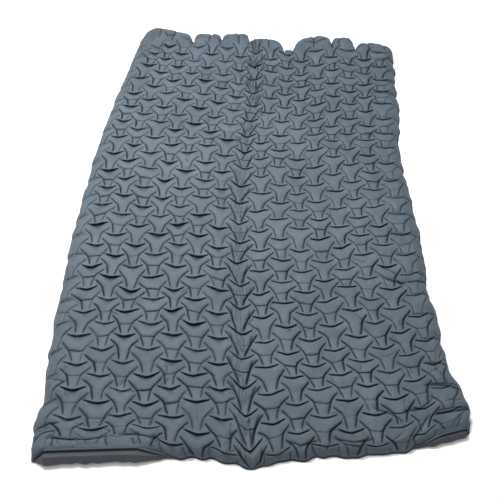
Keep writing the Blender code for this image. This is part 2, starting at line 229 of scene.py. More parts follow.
# Filling points between the lines, as shares of their spacing; and the scatter of all points, in cell heights
JITTER, LEAST_GAP = 0.22, 0.62
SCATTER = 0.0006


def weld_bend(s):
    """Distance of a weld from its cell's centre at s along it, and the slope of that distance."""
    share = np.abs(s) / WELD_HALF
    slope = np.sign(s) * WELD_BEND * WELD_KINK / WELD_HALF * share ** (WELD_KINK - 1)
    return WELD_RADIUS + WELD_BEND * share**WELD_KINK, slope


def weld_line(centre, angle, offset, stations):
    """Points along one weld, or along a line at an offset from it; plus is away from the cell's centre."""
    out = Vector((math.cos(angle), math.sin(angle)))
    along = Vector((-out.y, out.x))
    points = []
    for i in range(stations):
        s = WELD_HALF * (2 * i / (stations - 1) - 1)
        radius, slope = weld_bend(s)
        normal = (out - along * float(slope)).normalized()
        points.append(Vector(centre) + out * float(radius) + along * s + normal * offset)
    return points


def waist_height(px):
    """Height, from a cell's centre, of the crease that runs across its waist between two welds."""
    return -WAIST_DROP - WAIST_SAG * (1 - (px / WAIST_HALF) ** 2)


def tile_points(stations, offsets, spacing, seed):
    """Points of one tile, weld lines first, with the chains of points that must stay edges."""
    points, chains = [], []

    def wrapped(p):
        return Vector((p.x % TILE_WIDTH, p.y % 1.0))

    def clear_of(p, least):
        q = wrapped(p)
        for other in points:
            dx = abs(q.x - other.x)
            dy = abs(q.y - other.y)
            dx, dy = min(dx, TILE_WIDTH - dx), min(dy, 1.0 - dy)
            if dx * dx + dy * dy < least * least:
                return False
        return True

    for offset, least in offsets:
        for centre in TILE_CENTRES:
            for angle in WELD_ANGLES:
                chain = []
                for p in weld_line(centre, angle, offset, stations):
                    if least == 0 or clear_of(p, least):
                        chain.append((len(points), p))
                        points.append(wrapped(p))
                if least == 0:
                    chains.append(chain)
    for offset in WAIST_LINES:
        for centre in TILE_CENTRES:
            chain = []
            for i in range(WAIST_STATIONS):
                px = WAIST_HALF * (2 * i / (WAIST_STATIONS - 1) - 1)
                p = Vector(centre) + Vector((px, waist_height(px) + offset))
                chain.append((len(points), p))
                points.append(wrapped(p))
            chains.append(chain)
    rng = np.random.default_rng(seed)
    rows = max(2, round(1.0 / (spacing * COLUMN)))
    columns = max(2, round(TILE_WIDTH / spacing))
    for r in range(rows):
        for c in range(columns):
            jitter = rng.uniform(-JITTER, JITTER, 2) * spacing
            x = (c + 0.5 * (r % 2)) * TILE_WIDTH / columns + jitter[0]
            p = Vector((x, r / rows + jitter[1]))
            if clear_of(p, LEAST_GAP * spacing):
                points.append(wrapped(p))
    return points, chains


def lattice_tile(stations, offsets, spacing, seed):
    """Points of one tile and its triangles as (point, tile step across, tile step along) corners."""
    points, chains = tile_points(stations, offsets, spacing, seed)
    # a hair of scatter, so that no four points lie on one circle and every copy is triangulated alike
    scatter = np.random.default_rng(seed + 1).uniform(-SCATTER, SCATTER, (len(points), 2))
    chains = [[(i, p + Vector(scatter[i])) for i, p in chain] for chain in chains]
    points = [p + Vector(shift) for p, shift in zip(points, scatter)]
    count = len(points)
    steps = [(i, j) for i in (-1, 0, 1) for j in (-1, 0, 1)]
    everywhere = [Vector((p.x + i * TILE_WIDTH, p.y + j)) for i, j in steps for p in points]
    edges = []
    for chain in chains:
        for (a, pa), (b, pb) in zip(chain, chain[1:]):
            home_a = (round((pa.x - points[a].x) / TILE_WIDTH), round(pa.y - points[a].y))
            home_b = (round((pb.x - points[b].x) / TILE_WIDTH), round(pb.y - points[b].y))
            for i, j in steps:
                tile_a = (home_a[0] + i, home_a[1] + j)
                tile_b = (home_b[0] + i, home_b[1] + j)
                if tile_a in steps and tile_b in steps:
                    edges.append((steps.index(tile_a) * count + a, steps.index(tile_b) * count + b))
    made = delaunay_2d_cdt(everywhere, edges, [], 0, 1e-7)
    corners = []
    for triangle in made[2]:
        middle = sum((made[0][v] for v in triangle), Vector((0, 0))) / 3
        if 0 <= middle.x < TILE_WIDTH and 0 <= middle.y < 1:
            first = [made[3][v][0] for v in triangle]
            corners.append([(v % count, *steps[v // count]) for v in first])
    return np.array([(p.x, p.y) for p in points]), np.array(corners)


def tiled_sheet(stations, offsets, spacing, seed):
    """Vertices (column, row) and triangles of the whole lattice, cut to the pad's seams."""
    points, corners = lattice_tile(stations, offsets, spacing, seed)
    across = range(math.floor(FIRST_COLUMN / 2) - 1, math.ceil(LAST_COLUMN / 2) + 1)
    along = range(math.floor(FOOT_ROW) - 1, math.ceil(HEAD_ROW) + 1)
    count = len(points)
    vertices, triangles = [], []
    for i in across:
        for j in along:
            vertices.append(points + (i * TILE_WIDTH, j))
    for i in across[1:-1]:
        for j in along[1:-1]:
            tile = (i - across[0] + corners[..., 1]) * len(along) + (j - along[0] + corners[..., 2])
            triangles.append(tile * count + corners[..., 0])
    flat = np.concatenate(vertices)
    faces = np.concatenate(triangles)
    used = np.unique(faces)
    renumber = np.full(len(flat), -1)
    renumber[used] = np.arange(len(used))
    co = np.zeros((len(used), 3))
    co[:, 0] = flat[used, 0] / COLUMN
    co[:, 1] = flat[used, 1]
    bm = as_bmesh(co, renumber[faces])
    cuts = (
        ((FIRST_COLUMN, 0, 0), (-1, 0, 0)),
        ((LAST_COLUMN, 0, 0), (1, 0, 0)),
        ((0, FOOT_ROW, 0), (0, -1, 0)),
        ((0, HEAD_ROW, 0), (0, 1, 0)),
    )
    for place, normal in cuts:
        everything = bm.verts[:] + bm.edges[:] + bm.faces[:]
        plane = {"dist": 1e-5, "plane_co": place, "plane_no": normal, "clear_outer": True}
        bmesh.ops.bisect_plane(bm, geom=everything, **plane)
    bmesh.ops.triangulate(bm, faces=bm.faces)
    co, faces, _ = as_arrays(bm)
    return co[:, :2], faces


def fill_mesh(mesh, co, faces):
    """Fills an empty mesh with numpy vertices and triangles."""
    mesh.vertices.add(len(co))
    mesh.vertices.foreach_set("co", np.ascontiguousarray(co, np.float32).ravel())
    mesh.loops.add(3 * len(faces))
    mesh.loops.foreach_set("vertex_index", np.ascontiguousarray(faces, np.int32).ravel())
    mesh.polygons.add(len(faces))
    mesh.polygons.foreach_set("loop_start", np.arange(0, 3 * len(faces), 3, dtype=np.int32))
    mesh.update(calc_edges=True)


def as_bmesh(co, faces):
    """A bmesh of numpy vertices and triangles."""
    mesh = bpy.data.meshes.new("scratch")
    fill_mesh(mesh, co, faces)
    bm = bmesh.new()
    bm.from_mesh(mesh)
    bpy.data.meshes.remove(mesh)
    return bm


def as_arrays(bm):
    """Numpy vertices, triangles and shades of a bmesh, which is freed. Without a shade layer they are 0."""
    mesh = bpy.data.meshes.new("scratch")
    bm.to_mesh(mesh)
    bm.free()
    co = np.zeros(3 * len(mesh.vertices), np.float32)
    mesh.vertices.foreach_get("co", co)
    corners = np.zeros(len(mesh.loops), np.int32)
    mesh.loops.foreach_get("vertex_index", corners)
    shade = np.zeros(len(mesh.vertices), np.float32)
    if "shade" in mesh.attributes:
        mesh.attributes["shade"].data.foreach_get("value", shade)
    bpy.data.meshes.remove(mesh)
    return co.reshape(-1, 3).astype(float), corners.reshape(-1, 3), shade


# ---------- relief
# Depths, lifts and other heights of the relief are in millimetres until top_relief() returns them in metres.
# Above FREE_LIFT a lift is squeezed, to at most LIFT_MARGIN more
FREE_LIFT, LIFT_MARGIN = 4.2, 2.3
COLUMN_METRES = CELL * COLUMN
ROWS = 22
# Chances of each cell's three welds, looked up by column and row counted from these
CHANCE_COLUMN, CHANCE_ROW = 18, 8
# Of one cell: how steeply it may lean across and along, how many have a waist crease, the dimples' depth
LEAN_ACROSS, LEAN_ALONG = 10.0, 9.0
WAIST_CHANCE = 0.58
DIMPLE = 0.9
# Of one weld: groove at its ends and what its middle adds, lift of the cloth beyond it, and overall strength
GROOVE, GROOVE_MIDDLE = 3.6, 2.6
ARM_LIFT = 1.9
RELIEF = 1.15
WELD_RANDOM = np.random.default_rng(7).random((44, 44, 3, 6))


def foot_roll(u):
    """How far the foot seam is rolled up onto the pad, 0 to 1: fully at the left, part way at the right."""
    left = unit((u - FIRST_COLUMN) / 0.80) * unit((-2.70 - u) / 1.60)
    return left + 0.70 * unit((u - 6.2) / 1.4) * unit((LAST_COLUMN - u) / 0.30)


def weld_strength(u, w):
    """Welds stop short of the pad's edges, and the outermost column is shallow."""
    side = np.where(u > 0, step(8.6, 7.7, u) * 0.7 + 0.3 * step(9.0, 8.2, u), step(-8.2, -7.5, u))
    clear = 0.25 * foot_roll(u)
    last = 21.10 - 0.55 * step(-5.5, -7.5, u)
    return side * step(-0.05, 0.25, w - clear) * step(last + 0.25, last - 0.10, w)


class Quilting:
    """Relief of the welds at lattice points (u, w), the painted shade in their creases and pockets, and how
    they pull the lattice about in its own plane.
    """

    def __init__(self, u, w):
        self.u, self.w, self.x = u, w, u * COLUMN
        self.depth, self.dark, self.tone, self.du, self.dw = np.zeros((5, len(u)))
        near_column = np.round(u).astype(int)
        for dc in (-1, 0, 1):
            column = near_column + dc
            shift = 0.5 * (column % 2 == 0)
            near_row = np.round(w - shift).astype(int)
            for dr in (-1, 0, 1):
                self.add_cell(column, near_row + dr, shift)

    def add_cell(self, column, row, shift):
        """Adds one cell to each point: its welds, tilt, waist crease and the dimples between its arms."""
        px = self.x - column * COLUMN
        py = self.w - row - shift
        chance = WELD_RANDOM[column + CHANCE_COLUMN, row + CHANCE_ROW]
        whole = weld_strength(column * 1.0, row + shift)
        for k, angle in enumerate(WELD_ANGLES):
            self.add_weld(px, py, k, angle, column, row + shift, chance[:, k])
        tilt = hump(px**2 + py**2, 0, 0.16) * whole
        lean_x, lean_y = (chance[:, 2, 1] - 0.5) * LEAN_ACROSS, (chance[:, 2, 2] - 0.45) * LEAN_ALONG
        self.depth += tilt * (lean_x * px + lean_y * py)
        self.tone += tilt * (chance[:, 0, 2] - 0.5)
        # the waist crease: a step down towards the stem, sharp at the crease, which also moves the cloth;
        # painted shade runs along it and on the stem side
        off = py - waist_height(px)
        across = unit(1 - (np.abs(px) / 0.27) ** 6) * whole
        has = np.where(chance[:, 1, 4] < WAIST_CHANCE, 0.35 + 0.85 * chance[:, 2, 4], 0.06) * across
        near = np.abs(off) < 0.34
        body_side = np.exp(-np.maximum(off, 0) / 0.10) * (off >= 0)
        stem_side = np.exp(np.minimum(off, 0) / 0.16) * (off < 0)
        line = unit(1.4 * (1 - np.abs(off) / 0.026))
        self.depth += near * has * (2.4 * stem_side - 1.5 * body_side) + has * 1.2 * line
        self.dark = np.maximum(self.dark, has * np.maximum(0.85 * line, 0.25 * near * stem_side**3))
        shift = hump(off, 0, 0.09) * np.exp(-((px / 0.30) ** 4)) * whole
        self.dw += shift * ((chance[:, 0, 4] - 0.5) * 0.35 * px + (chance[:, 1, 1] - 0.5) * 0.06)
        for side in (-1, 1):
            away = np.hypot(px - side * COLUMN / 3, py - 0.5)
            self.depth += DIMPLE * step(0.150, 0.085, away) * whole

    def add_weld(self, px, py, k, angle, column, centre_row, chance):
        """Adds weld k of the cell whose centre is (px, py) away. Weld 0, at the cell's top, is deepest."""
        out_x, out_y = math.cos(angle), math.sin(angle)
        radial = px * out_x + py * out_y
        s = -px * out_y + py * out_x
        # only the points near enough to feel it
        i = np.nonzero((np.abs(s) < WELD_HALF + 0.16) & (np.abs(radial - 0.33) < 0.42))[0]
        if len(i) == 0:
            return
        s, radial, chance = s[i], radial[i], chance[i]
        u, w = self.u[i], self.w[i]
        radius, slope = weld_bend(s)
        share = np.abs(s) / WELD_HALF
        off = (radial - radius) / np.sqrt(1 + slope**2)
        strength = weld_strength(column[i] + out_x * 0.3 / COLUMN, centre_row[i] + out_y * 0.3)
        strength = strength * (0.62 + 0.65 * chance[:, 0])
        fold_column = column[i] == 0
        strength = np.where(fold_column & (k == 0), strength * 1.5, strength)
        left = step(0.9, -0.9, u)
        # off is above zero beyond the weld, and below it inside the cell, where its pocket lies
        inward, outward = np.maximum(-off, 0), np.maximum(off, 0)
        middle = unit(1 - share**2)
        taper = step(1.0, 0.86, share)
        far, right = step(9.0, 20.0, w), 1 - left
        line_half = 0.030 + 0.014 * middle * chance[:, 2] + 0.004 * (k == 0) + 0.017 * far + 0.005 * right
        line = unit(1.7 * (1 - np.abs(off) / line_half)) * taper
        groove = np.where(off > 0, unit(1 - off / 0.024), unit(1 + off / 0.040)) * taper
        arm_side = np.where(off > 0, np.exp(-outward / 0.085), 0) * middle
        if k == 0:
            size = 0.26 * unit(1 - np.abs(s) / 0.38) * (0.55 + 0.6 * chance[:, 1])
            pocket = np.where(off <= 0, unit(1 - inward / np.maximum(size, 0.02)), 0)
            deep = left * (2.5 + 4.0 * chance[:, 1]) + right * 0.8
            pocket_shade = (0.76 * left + 0.17) * pocket**0.7 * (0.60 + 0.6 * chance[:, 4])
        else:
            pocket = np.where(off <= 0, unit(1 - inward / 0.13), 0) * middle
            deep = 2.2 + 1.4 * chance[:, 1]
            pocket_shade = 0.16 * pocket
        lifted = (ARM_LIFT + 1.2 * chance[:, 4]) * arm_side
        value = groove * (GROOVE + GROOVE_MIDDLE * middle) + pocket * deep - lifted
        self.depth[i] += RELIEF * strength * value
        # painted shade: a dark line along the weld, and painted shadow in the pocket inside it
        weight = 0.72 + 0.50 * chance[:, 2] if k else 0.86 + 0.30 * chance[:, 2]
        shade = np.maximum(line * (weight + 0.12 * far + 0.12 * right), pocket_shade * taper)
        self.dark[i] = np.maximum(self.dark[i], np.sqrt(strength) * shade)
        # the pull of each weld on the cloth round it
        near = hump(off, 0, 0.18) * np.minimum(strength, 1.1)
        bulk = near * hump(share, 0, 0.75)
        push = (chance[:, 3] - 0.5) * 0.075 + fold_column * (0.05 if k else -0.06)
        swing = (chance[:, 5] - 0.5) * 0.16 * (s / WELD_HALF)
        move = bulk * (push + swing)
        self.du[i] += move * out_x / COLUMN
        self.dw[i] += move * out_y


def bent(start, end, aside=0.0, ahead=0.0):
    """Points of a crease from start to end, its middle moved by (aside, ahead)."""
    return start, ((start[0] + end[0]) / 2 + aside, (start[1] + end[1]) / 2 + ahead), end


def stroke_field(u, w, strokes):
    """Depth and painted shade of single creases, and the distance to the nearest in metres.

    A stroke is (points, depth, half width, soft half width). It fades out at its start and weakens at its
    end. The widths are in metres.
    """
    depth, dark, nearest = np.zeros(len(u)), np.zeros(len(u)), np.full(len(u), 9.0)
    x, y = u * COLUMN_METRES, w * CELL
    for points, deep, half, soft in strokes:
        path = np.array(points) * (COLUMN_METRES, CELL)
        lengths = np.hypot(*(path[1:] - path[:-1]).T)
        total, before = lengths.sum(), 0.0
        reach = soft * 2.4 + half
        low, high = path.min(axis=0) - reach, path.max(axis=0) + reach
        i = np.nonzero((x > low[0]) & (x < high[0]) & (y > low[1]) & (y < high[1]))[0]
        if len(i) == 0:
            continue
        best, at = np.full(len(i), 9.0), np.zeros(len(i))
        for a, b, length in zip(path, path[1:], lengths):
            along = ((x[i] - a[0]) * (b[0] - a[0]) + (y[i] - a[1]) * (b[1] - a[1])) / length**2
            along = unit(along)
            gap = np.hypot(x[i] - a[0] - along * (b[0] - a[0]), y[i] - a[1] - along * (b[1] - a[1]))
            closer = gap < best
            best = np.where(closer, gap, best)
            at = np.where(closer, (before + along * length) / total, at)
            before += length
        taper = step(0.0, 0.25, at) * (0.35 + 0.65 * step(1.02, 0.85, at))
        sharp = unit(1 - best / half)
        wide = hump(best, 0, soft)
        depth[i] += taper * deep * (0.62 * sharp + 0.38 * wide)
        shade = taper * min(1.0, deep / 5.0) * unit(sharp * 0.95 + 0.20 * wide)
        dark[i] = np.maximum(dark[i], shade)
        nearest[i] = np.minimum(nearest[i], best)
    return depth, dark, nearest


# Half width and soft half width of the tucks at the edges
TUCK = (0.0034, 0.011)
FOOT_TUCK = (0.0034, 0.010)
HEAD_TUCK = (0.0044, 0.011)
# Tucks of each side: the seam's column, the inner end's column and its scatter, the outer end's place in its
# row, bend and depth
SIDE_TUCKS = (
    (LAST_COLUMN, 7.55, 0.5, 0.62, 0.08, 5.2),
    (FIRST_COLUMN, -7.35, 0.4, 0.66, 0.06, 4.8),
)


def edge_creases():
    """Tucks that run in from the side edges, one to a row, and up from the foot seam, one to a column."""
    draw = np.random.default_rng(21)
    made = []
    for row in range(ROWS):
        for seam, column, scatter, outer, bend, depth in SIDE_TUCKS:
            jog, drop, deep, inner = draw.uniform(-0.5, 0.5, 4)
            start = (column + scatter * inner, row + 0.98 + 0.10 * jog)
            end = (seam, row + outer + 0.30 * drop)
            made.append((bent(start, end, ahead=bend), depth + 3.0 * deep, *TUCK))
    for column in range(-8, 9):
        jog, drop, deep, inner = draw.uniform(-0.5, 0.5, 4)
        top = 0.30 + 0.25 * inner + (0.25 if column % 2 == 0 else 0.0)
        points = ((column + 0.48 + 0.1 * jog, top), (column + 0.5 + 0.3 * drop, FOOT_ROW))
        made.append((points, 4.0 + 2.5 * deep, *FOOT_TUCK))
    return made


def stray_creases():
    """Short faint creases scattered over the cloth, more of them at the foot and in the far left corner."""
    draw = np.random.default_rng(44)
    made = []
    at_foot, in_corner, everywhere = 60, 35, 135
    for number in range(at_foot + in_corner + everywhere):
        a, b, c, d, e = draw.uniform(0, 1, 5)
        if number < at_foot:
            start = (-8.2 + 16.8 * a, 0.3 + 2.6 * b)
        elif number < at_foot + in_corner:
            start = (-8.2 + 2.6 * a, 20.2 + 1.6 * b)
        else:
            start = (-8.0 + 16.5 * a, 1.0 + 20.0 * b)
        angle, length = 2 * math.pi * c, 0.25 + 0.55 * d
        end = (start[0] + length * math.cos(angle), start[1] + 0.6 * length * math.sin(angle))
        points = bent(start, end, 0.08 * (e - 0.5), 0.10 * (e - 0.5))
        made.append((points, 1.6 + 2.4 * e, 0.0026, 0.006))
    return made


def head_tucks():
    """Tucks that run down the plain margin at the head from the notches of its edge."""
    draw = np.random.default_rng(55)
    made = []
    for column in (-7.1, -5.9, -4.65, -3.4, -2.45, -1.3, -0.35, 0.9, 1.9, 2.6, 3.9, 5.0, 5.6, 6.5, 7.4, 8.3):
        a, b, c = draw.uniform(-0.5, 0.5, 3)
        end = (column, HEAD_ROW)
        start = (column + 0.35 * a, 21.0 + 0.3 * b)
        middle = ((start[0] + end[0]) / 2 + 0.1 * c, 21.6)
        made.append(((start, middle, end), 7.5 + 3.0 * c, *HEAD_TUCK))
    return made


def fold_creases():
    """Creases of the middle column: both sides of each funnel-shaped cell, and slanting ones at the head."""
    draw = np.random.default_rng(33)
    made = []
    for row in range(ROWS):
        top = row + 0.5
        heavy = 1.5 - 0.5 * float(step(3.0, 9.0, row))
        for side in (-1, 1):
            a, b, c, d = draw.uniform(-0.5, 0.5, 4)
            start = (side * (0.50 + 0.12 * a), top + 0.24 + 0.1 * b)
            bend = (side * (0.27 + 0.06 * c), top - 0.20)
            end = (side * (0.09 + 0.06 * d), top - 0.66)
            made.append(((start, bend, end), heavy * (5.4 + 3.0 * a), 0.0040, 0.009))
        for side in (-0.6, -0.1, 0.4):
            a, b, c, d = draw.uniform(-0.5, 0.5, 4)
            start = (0.34 * side + 0.08 * a, top + 0.18 + 0.2 * b)
            end = (0.13 * side + 0.10 * c, top - 0.50 + 0.3 * d)
            made.append(((start, end), 2.6 + 2.0 * b, 0.0028, 0.006))
        crowd = int(round(7 * float(step(11.0, 19.0, row))))
        for _ in range(crowd):
            a, b, c, d = draw.uniform(-0.5, 0.5, 4)
            start = (0.05 + 1.15 * a, row + 0.5 + b)
            run = 0.22 + 0.3 * c
            end = (start[0] + run, start[1] + 0.42 + 0.35 * d)
            made.append(((start, end), 4.0 + 3.0 * d, 0.0030, 0.007))
    return made


# Long single creases that the photograph shows
LONG_CREASES = (
    (((-8.0, 0.36), (-6.8, 0.3), (-5.5, 0.36)), 6.0, 0.0044, 0.01),
    (((-5.2, 0.42), (-4.3, 0.34), (-3.5, 0.46)), 6.0, 0.0044, 0.01),
    (((-8.5, 0.3), (-7.9, 0.62), (-7.3, 0.75)), 5.0, 0.004, 0.01),
    (((6.35, 7.12), (6.95, 6.8), (7.5, 6.55), (8.3, 6.46), (LAST_COLUMN, 6.22)), 9.0, 0.0046, 0.013),
    (((6.6, 7.35), (7.0, 7.2), (7.4, 6.95)), 4.0, 0.0034, 0.008),
    (((7.5, 18.84), (8.2, 18.8), (LAST_COLUMN, 18.9)), 9.0, 0.0046, 0.014),
    (((7.4, 17.74), (8.2, 17.72), (LAST_COLUMN, 17.75)), 10.0, 0.005, 0.014),
    (((7.6, 20.39), (8.4, 20.45), (LAST_COLUMN, 20.4)), 7.0, 0.004, 0.012),
    (((7.0, 2.05), (7.6, 2.02), (8.3, 1.84), (LAST_COLUMN, 1.42)), 9.0, 0.0056, 0.015),
    (((5.9, 1.4), (6.6, 1.3), (7.4, 1.5)), 6.0, 0.0046, 0.012),
    (((3.1, 0.62), (4.0, 0.45), (4.9, 0.6)), 6.0, 0.0046, 0.012),
    (((4.9, 1.62), (5.6, 1.35), (6.1, 0.95)), 5.0, 0.004, 0.012),
    (((1.3, 0.62), (2.0, 0.4), (2.8, 0.52)), 6.0, 0.0046, 0.012),
    (((-7.1, 1.2), (-7.8, 1.05), (FIRST_COLUMN, 0.8)), 7.0, 0.004, 0.012),
    (((7.2, 0.92), (8.1, 0.78), (LAST_COLUMN, 0.62)), 8.0, 0.006, 0.012),
    (((6.3, 0.1), (6.8, 0.55), (7.2, 0.92)), 7.0, 0.0048, 0.012),
    (((-7.6, 20.9), (-6.9, 20.7), (-6.4, 20.95)), 8.0, 0.0056, 0.013),
    (((-6.9, 21.6), (-6.4, 21.35), (-5.8, 21.5)), 8.0, 0.0056, 0.013),
    (((-7.9, 20.1), (-7.2, 20.25), (-6.7, 20.05)), 7.0, 0.005, 0.013),
    (((-5.6, 21.45), (-4.7, 21.3), (-4.0, 21.5)), 7.0, 0.005, 0.012),
    (((-3.3, 21.5), (-2.5, 21.35), (-1.8, 21.52)), 7.0, 0.005, 0.012),
    (((3.1, 21.6), (4.0, 21.4), (4.8, 21.62)), 7.0, 0.005, 0.012),
    (((5.9, 21.5), (6.6, 21.3), (7.2, 21.5)), 7.0, 0.005, 0.012),
)
EDGE_STROKES = edge_creases() + list(LONG_CREASES)
STROKES = EDGE_STROKES + fold_creases() + stray_creases() + head_tucks()

# Seeds and wavelengths: in columns and rows for the two warps, in metres for the others
warp_x = Ripple(11, 2.6)
warp_y = Ripple(12, 2.8)
swell = Ripple(13, 0.42)
crumple = Ripple(14, 0.036)
facets = Ripple(16, 0.052)
ragged = Ripple(15, 0.055)
sway = Ripple(20, 0.14)
fold_phase = Ripple(17, 0.16)
fold_force = Ripple(18, 0.075)
crush = Ripple(19, 0.026)

# Loose cloth between the welds: slow swell, fine crumple and flat facets
SWELL, CRUMPLE, FACET = 1.4, 0.55, 0.8
# Pitch of the fold's wrinkles, how far the lattice drifts, and how far the tucks draw the outline in
WRINKLE_PITCH = 0.0125
DRIFT = 0.065
TUCK_PULL, TUCK_PULL_REACH = 0.75, 0.016
# Waviness of the outline, and how far in the outline's lumps and waves reach
LOOSE_EDGE, LOOSE_REACH = 0.0022, 0.08
SIDE_LUMP_REACH, HEAD_LUMP_REACH = 0.11, 0.15
# Notches of the head end: x and force
HEAD_NOTCHES = (
    (-0.281, 1.0), (-0.144, 0.5), (-0.012, 0.6), (0.150, 0.7), (0.190, 0.7), (0.376, 0.55), (0.484, 1.0),
)


def fold_wrinkles(u, w):
    """Fine lengthwise wrinkles down the middle column, slanting and closer towards the head, with painted
    shade in their grooves.
    """
    x, y = u * COLUMN_METRES, w * CELL
    lean = 0.55 * step(1.15, 1.75, y)
    envelope = hump(u, 0, 0.42) + 0.55 * hump(u, 0.25, 0.7) * step(1.25, 1.6, y)
    across = (x - lean * (y - 1.5) * 0.25) / WRINKLE_PITCH
    phase = math.pi * across + 1.5 * fold_phase(x * 0.5, y)
    ridge = 1 - np.abs(np.sin(phase))
    force = np.clip(0.55 + 0.75 * fold_force(x * 2.5, y), 0.05, 1.3)
    heavy = 1 + 0.9 * step(1.2, 1.7, y)
    depth = envelope * force * heavy * (2.6 * ridge**3 + 0.5 * np.sin(2 * phase))
    depth += envelope * heavy * 0.9 * crush(x, y)
    return depth, np.clip(envelope * force * (0.16 + 0.75 * ridge**6) * (0.7 + 0.3 * heavy), 0, 0.9)


def lattice_shift(u, w, quilting):
    """Pull of the welds, slow drift of the lattice, and the sag of the middle column's welds into deep Vs."""
    fold_pull = 0.05 + 0.13 * step(6.0, 0.5, w) + 0.05 * step(15.0, 20.0, w)
    sag = fold_pull * unit(1 - np.abs(u) / 0.55) * step(-0.2, 0.6, w)
    from_border = np.minimum.reduce([u - FIRST_COLUMN, LAST_COLUMN - u, w - FOOT_ROW, HEAD_ROW - w])
    free = step(0.0, 0.45, from_border)
    return free * (DRIFT * warp_x(u, w) + quilting.du), free * (DRIFT * warp_y(u, w) - sag + quilting.dw)


def scallop(u, w):
    """How far the outline is drawn in at the tucks of each row, in metres."""
    field = np.zeros(len(u))
    for points, deep, _, _ in EDGE_STROKES:
        end = points[-1]
        reach = np.hypot((u - end[0]) * COLUMN_METRES, (w - end[1]) * CELL)
        field += deep * hump(reach, 0, TUCK_PULL_REACH)
    return field * TUCK_PULL * MM


def laid_out(u, w):
    """Rest shape without relief: positions, outward normals and the cloth's distance in from the seam."""
    side = np.where(u < 0, -1.0, 1.0)
    share = unit(np.abs(u) / np.where(u < 0, -FIRST_COLUMN, LAST_COLUMN))
    t = unit((w - FOOT_ROW) / (HEAD_ROW - FOOT_ROW))
    y = -0.93 + 1.85 * t
    for _ in range(4):
        edge_x = np.where(u < 0, smooth_through(LEFT_EDGE, y), smooth_through(RIGHT_EDGE, y))
        middle_x = smooth_through(MIDDLE_LINE, y)
        cloth = side * (edge_x - middle_x) - FLANGE + EDGE_SLACK
        from_side = cloth * (1 - share)
        x = middle_x + side * np.minimum(cloth * share, cloth - EDGE_SLACK)
        foot_y, head_y = smooth_through(FOOT_END, x), smooth_through(HEAD_END, x)
        length = head_y - foot_y - 2 * FLANGE + 2 * EDGE_SLACK
        from_foot, from_head = t * length, (1 - t) * length
        y = np.clip(foot_y + FLANGE - EDGE_SLACK + from_foot, foot_y + FLANGE, head_y - FLANGE)
    lump_x = np.where(u < 0, smooth_through(LEFT_LUMPS, y), smooth_through(RIGHT_LUMPS, y))
    grown_x = (lump_x - edge_x) * step(SIDE_LUMP_REACH, 0.0, from_side)
    grown_y = (smooth_through(HEAD_LUMPS, x) - head_y) * step(HEAD_LUMP_REACH, 0.0, from_head)
    loose = LOOSE_EDGE * ragged(x, y) + LOOSE_EDGE * sway(x, y)
    grown_x += side * loose * step(LOOSE_REACH, 0.0, from_side)
    end = np.where(from_foot < from_head, -1.0, 1.0)
    from_end = np.minimum(from_foot, from_head)
    grown_y += end * loose * step(LOOSE_REACH, 0.0, from_end)
    p = unit(1 - from_side / EDGE_ARC)
    q = unit(1 - from_end / EDGE_ARC)
    n = np.full(len(u), 2.0)
    for (a, b), power in CORNER_POWERS.items():
        n[(side == a) & (end == b)] = power
    p_round = p * (1 - q**n / 2) ** (1 / n)
    q_round = q * (1 - p**n / 2) ** (1 / n)
    reach = (p_round**n + q_round**n) ** (1 / n)
    turn = math.pi / 2 * (1 - unit(reach))
    width = np.where(reach > 1e-9, np.cos(turn) / np.maximum(reach, 1e-9), 0.0)
    end_y = np.where(end < 0, foot_y, head_y)
    x = np.where(p > 0, edge_x - side * (FLANGE + EDGE_RADIUS * (1 - width * p_round)), x)
    y = np.where(q > 0, end_y - end * (FLANGE + EDGE_RADIUS * (1 - width * q_round)), y)
    fullness = np.where((end > 0) & (q > 0), HEAD_FULLNESS, 1.0)
    z = SEAM_Z + (SHEET_TOP - SEAM_Z) * np.sin(turn) ** fullness
    normal = np.stack([side * width * p_round, end * width * q_round, np.sin(turn)], 1)
    normal /= np.linalg.norm(normal, axis=1, keepdims=True)
    inset = EDGE_ARC * (1 - unit(reach))
    inset = np.where(reach > 0, inset, np.minimum(from_side, from_end))
    drawn = scallop(u, w) * step(0.07, 0.01, inset)
    flat = np.hypot(normal[:, 0], normal[:, 1])
    outward = normal[:, :2] / np.maximum(flat, 1e-6)[:, None] * np.minimum(flat * 4, 1)[:, None]
    place = np.stack([x + grown_x, y + grown_y, z], 1)
    place[:, :2] -= outward * drawn[:, None]
    return place, normal, inset, from_foot, from_head


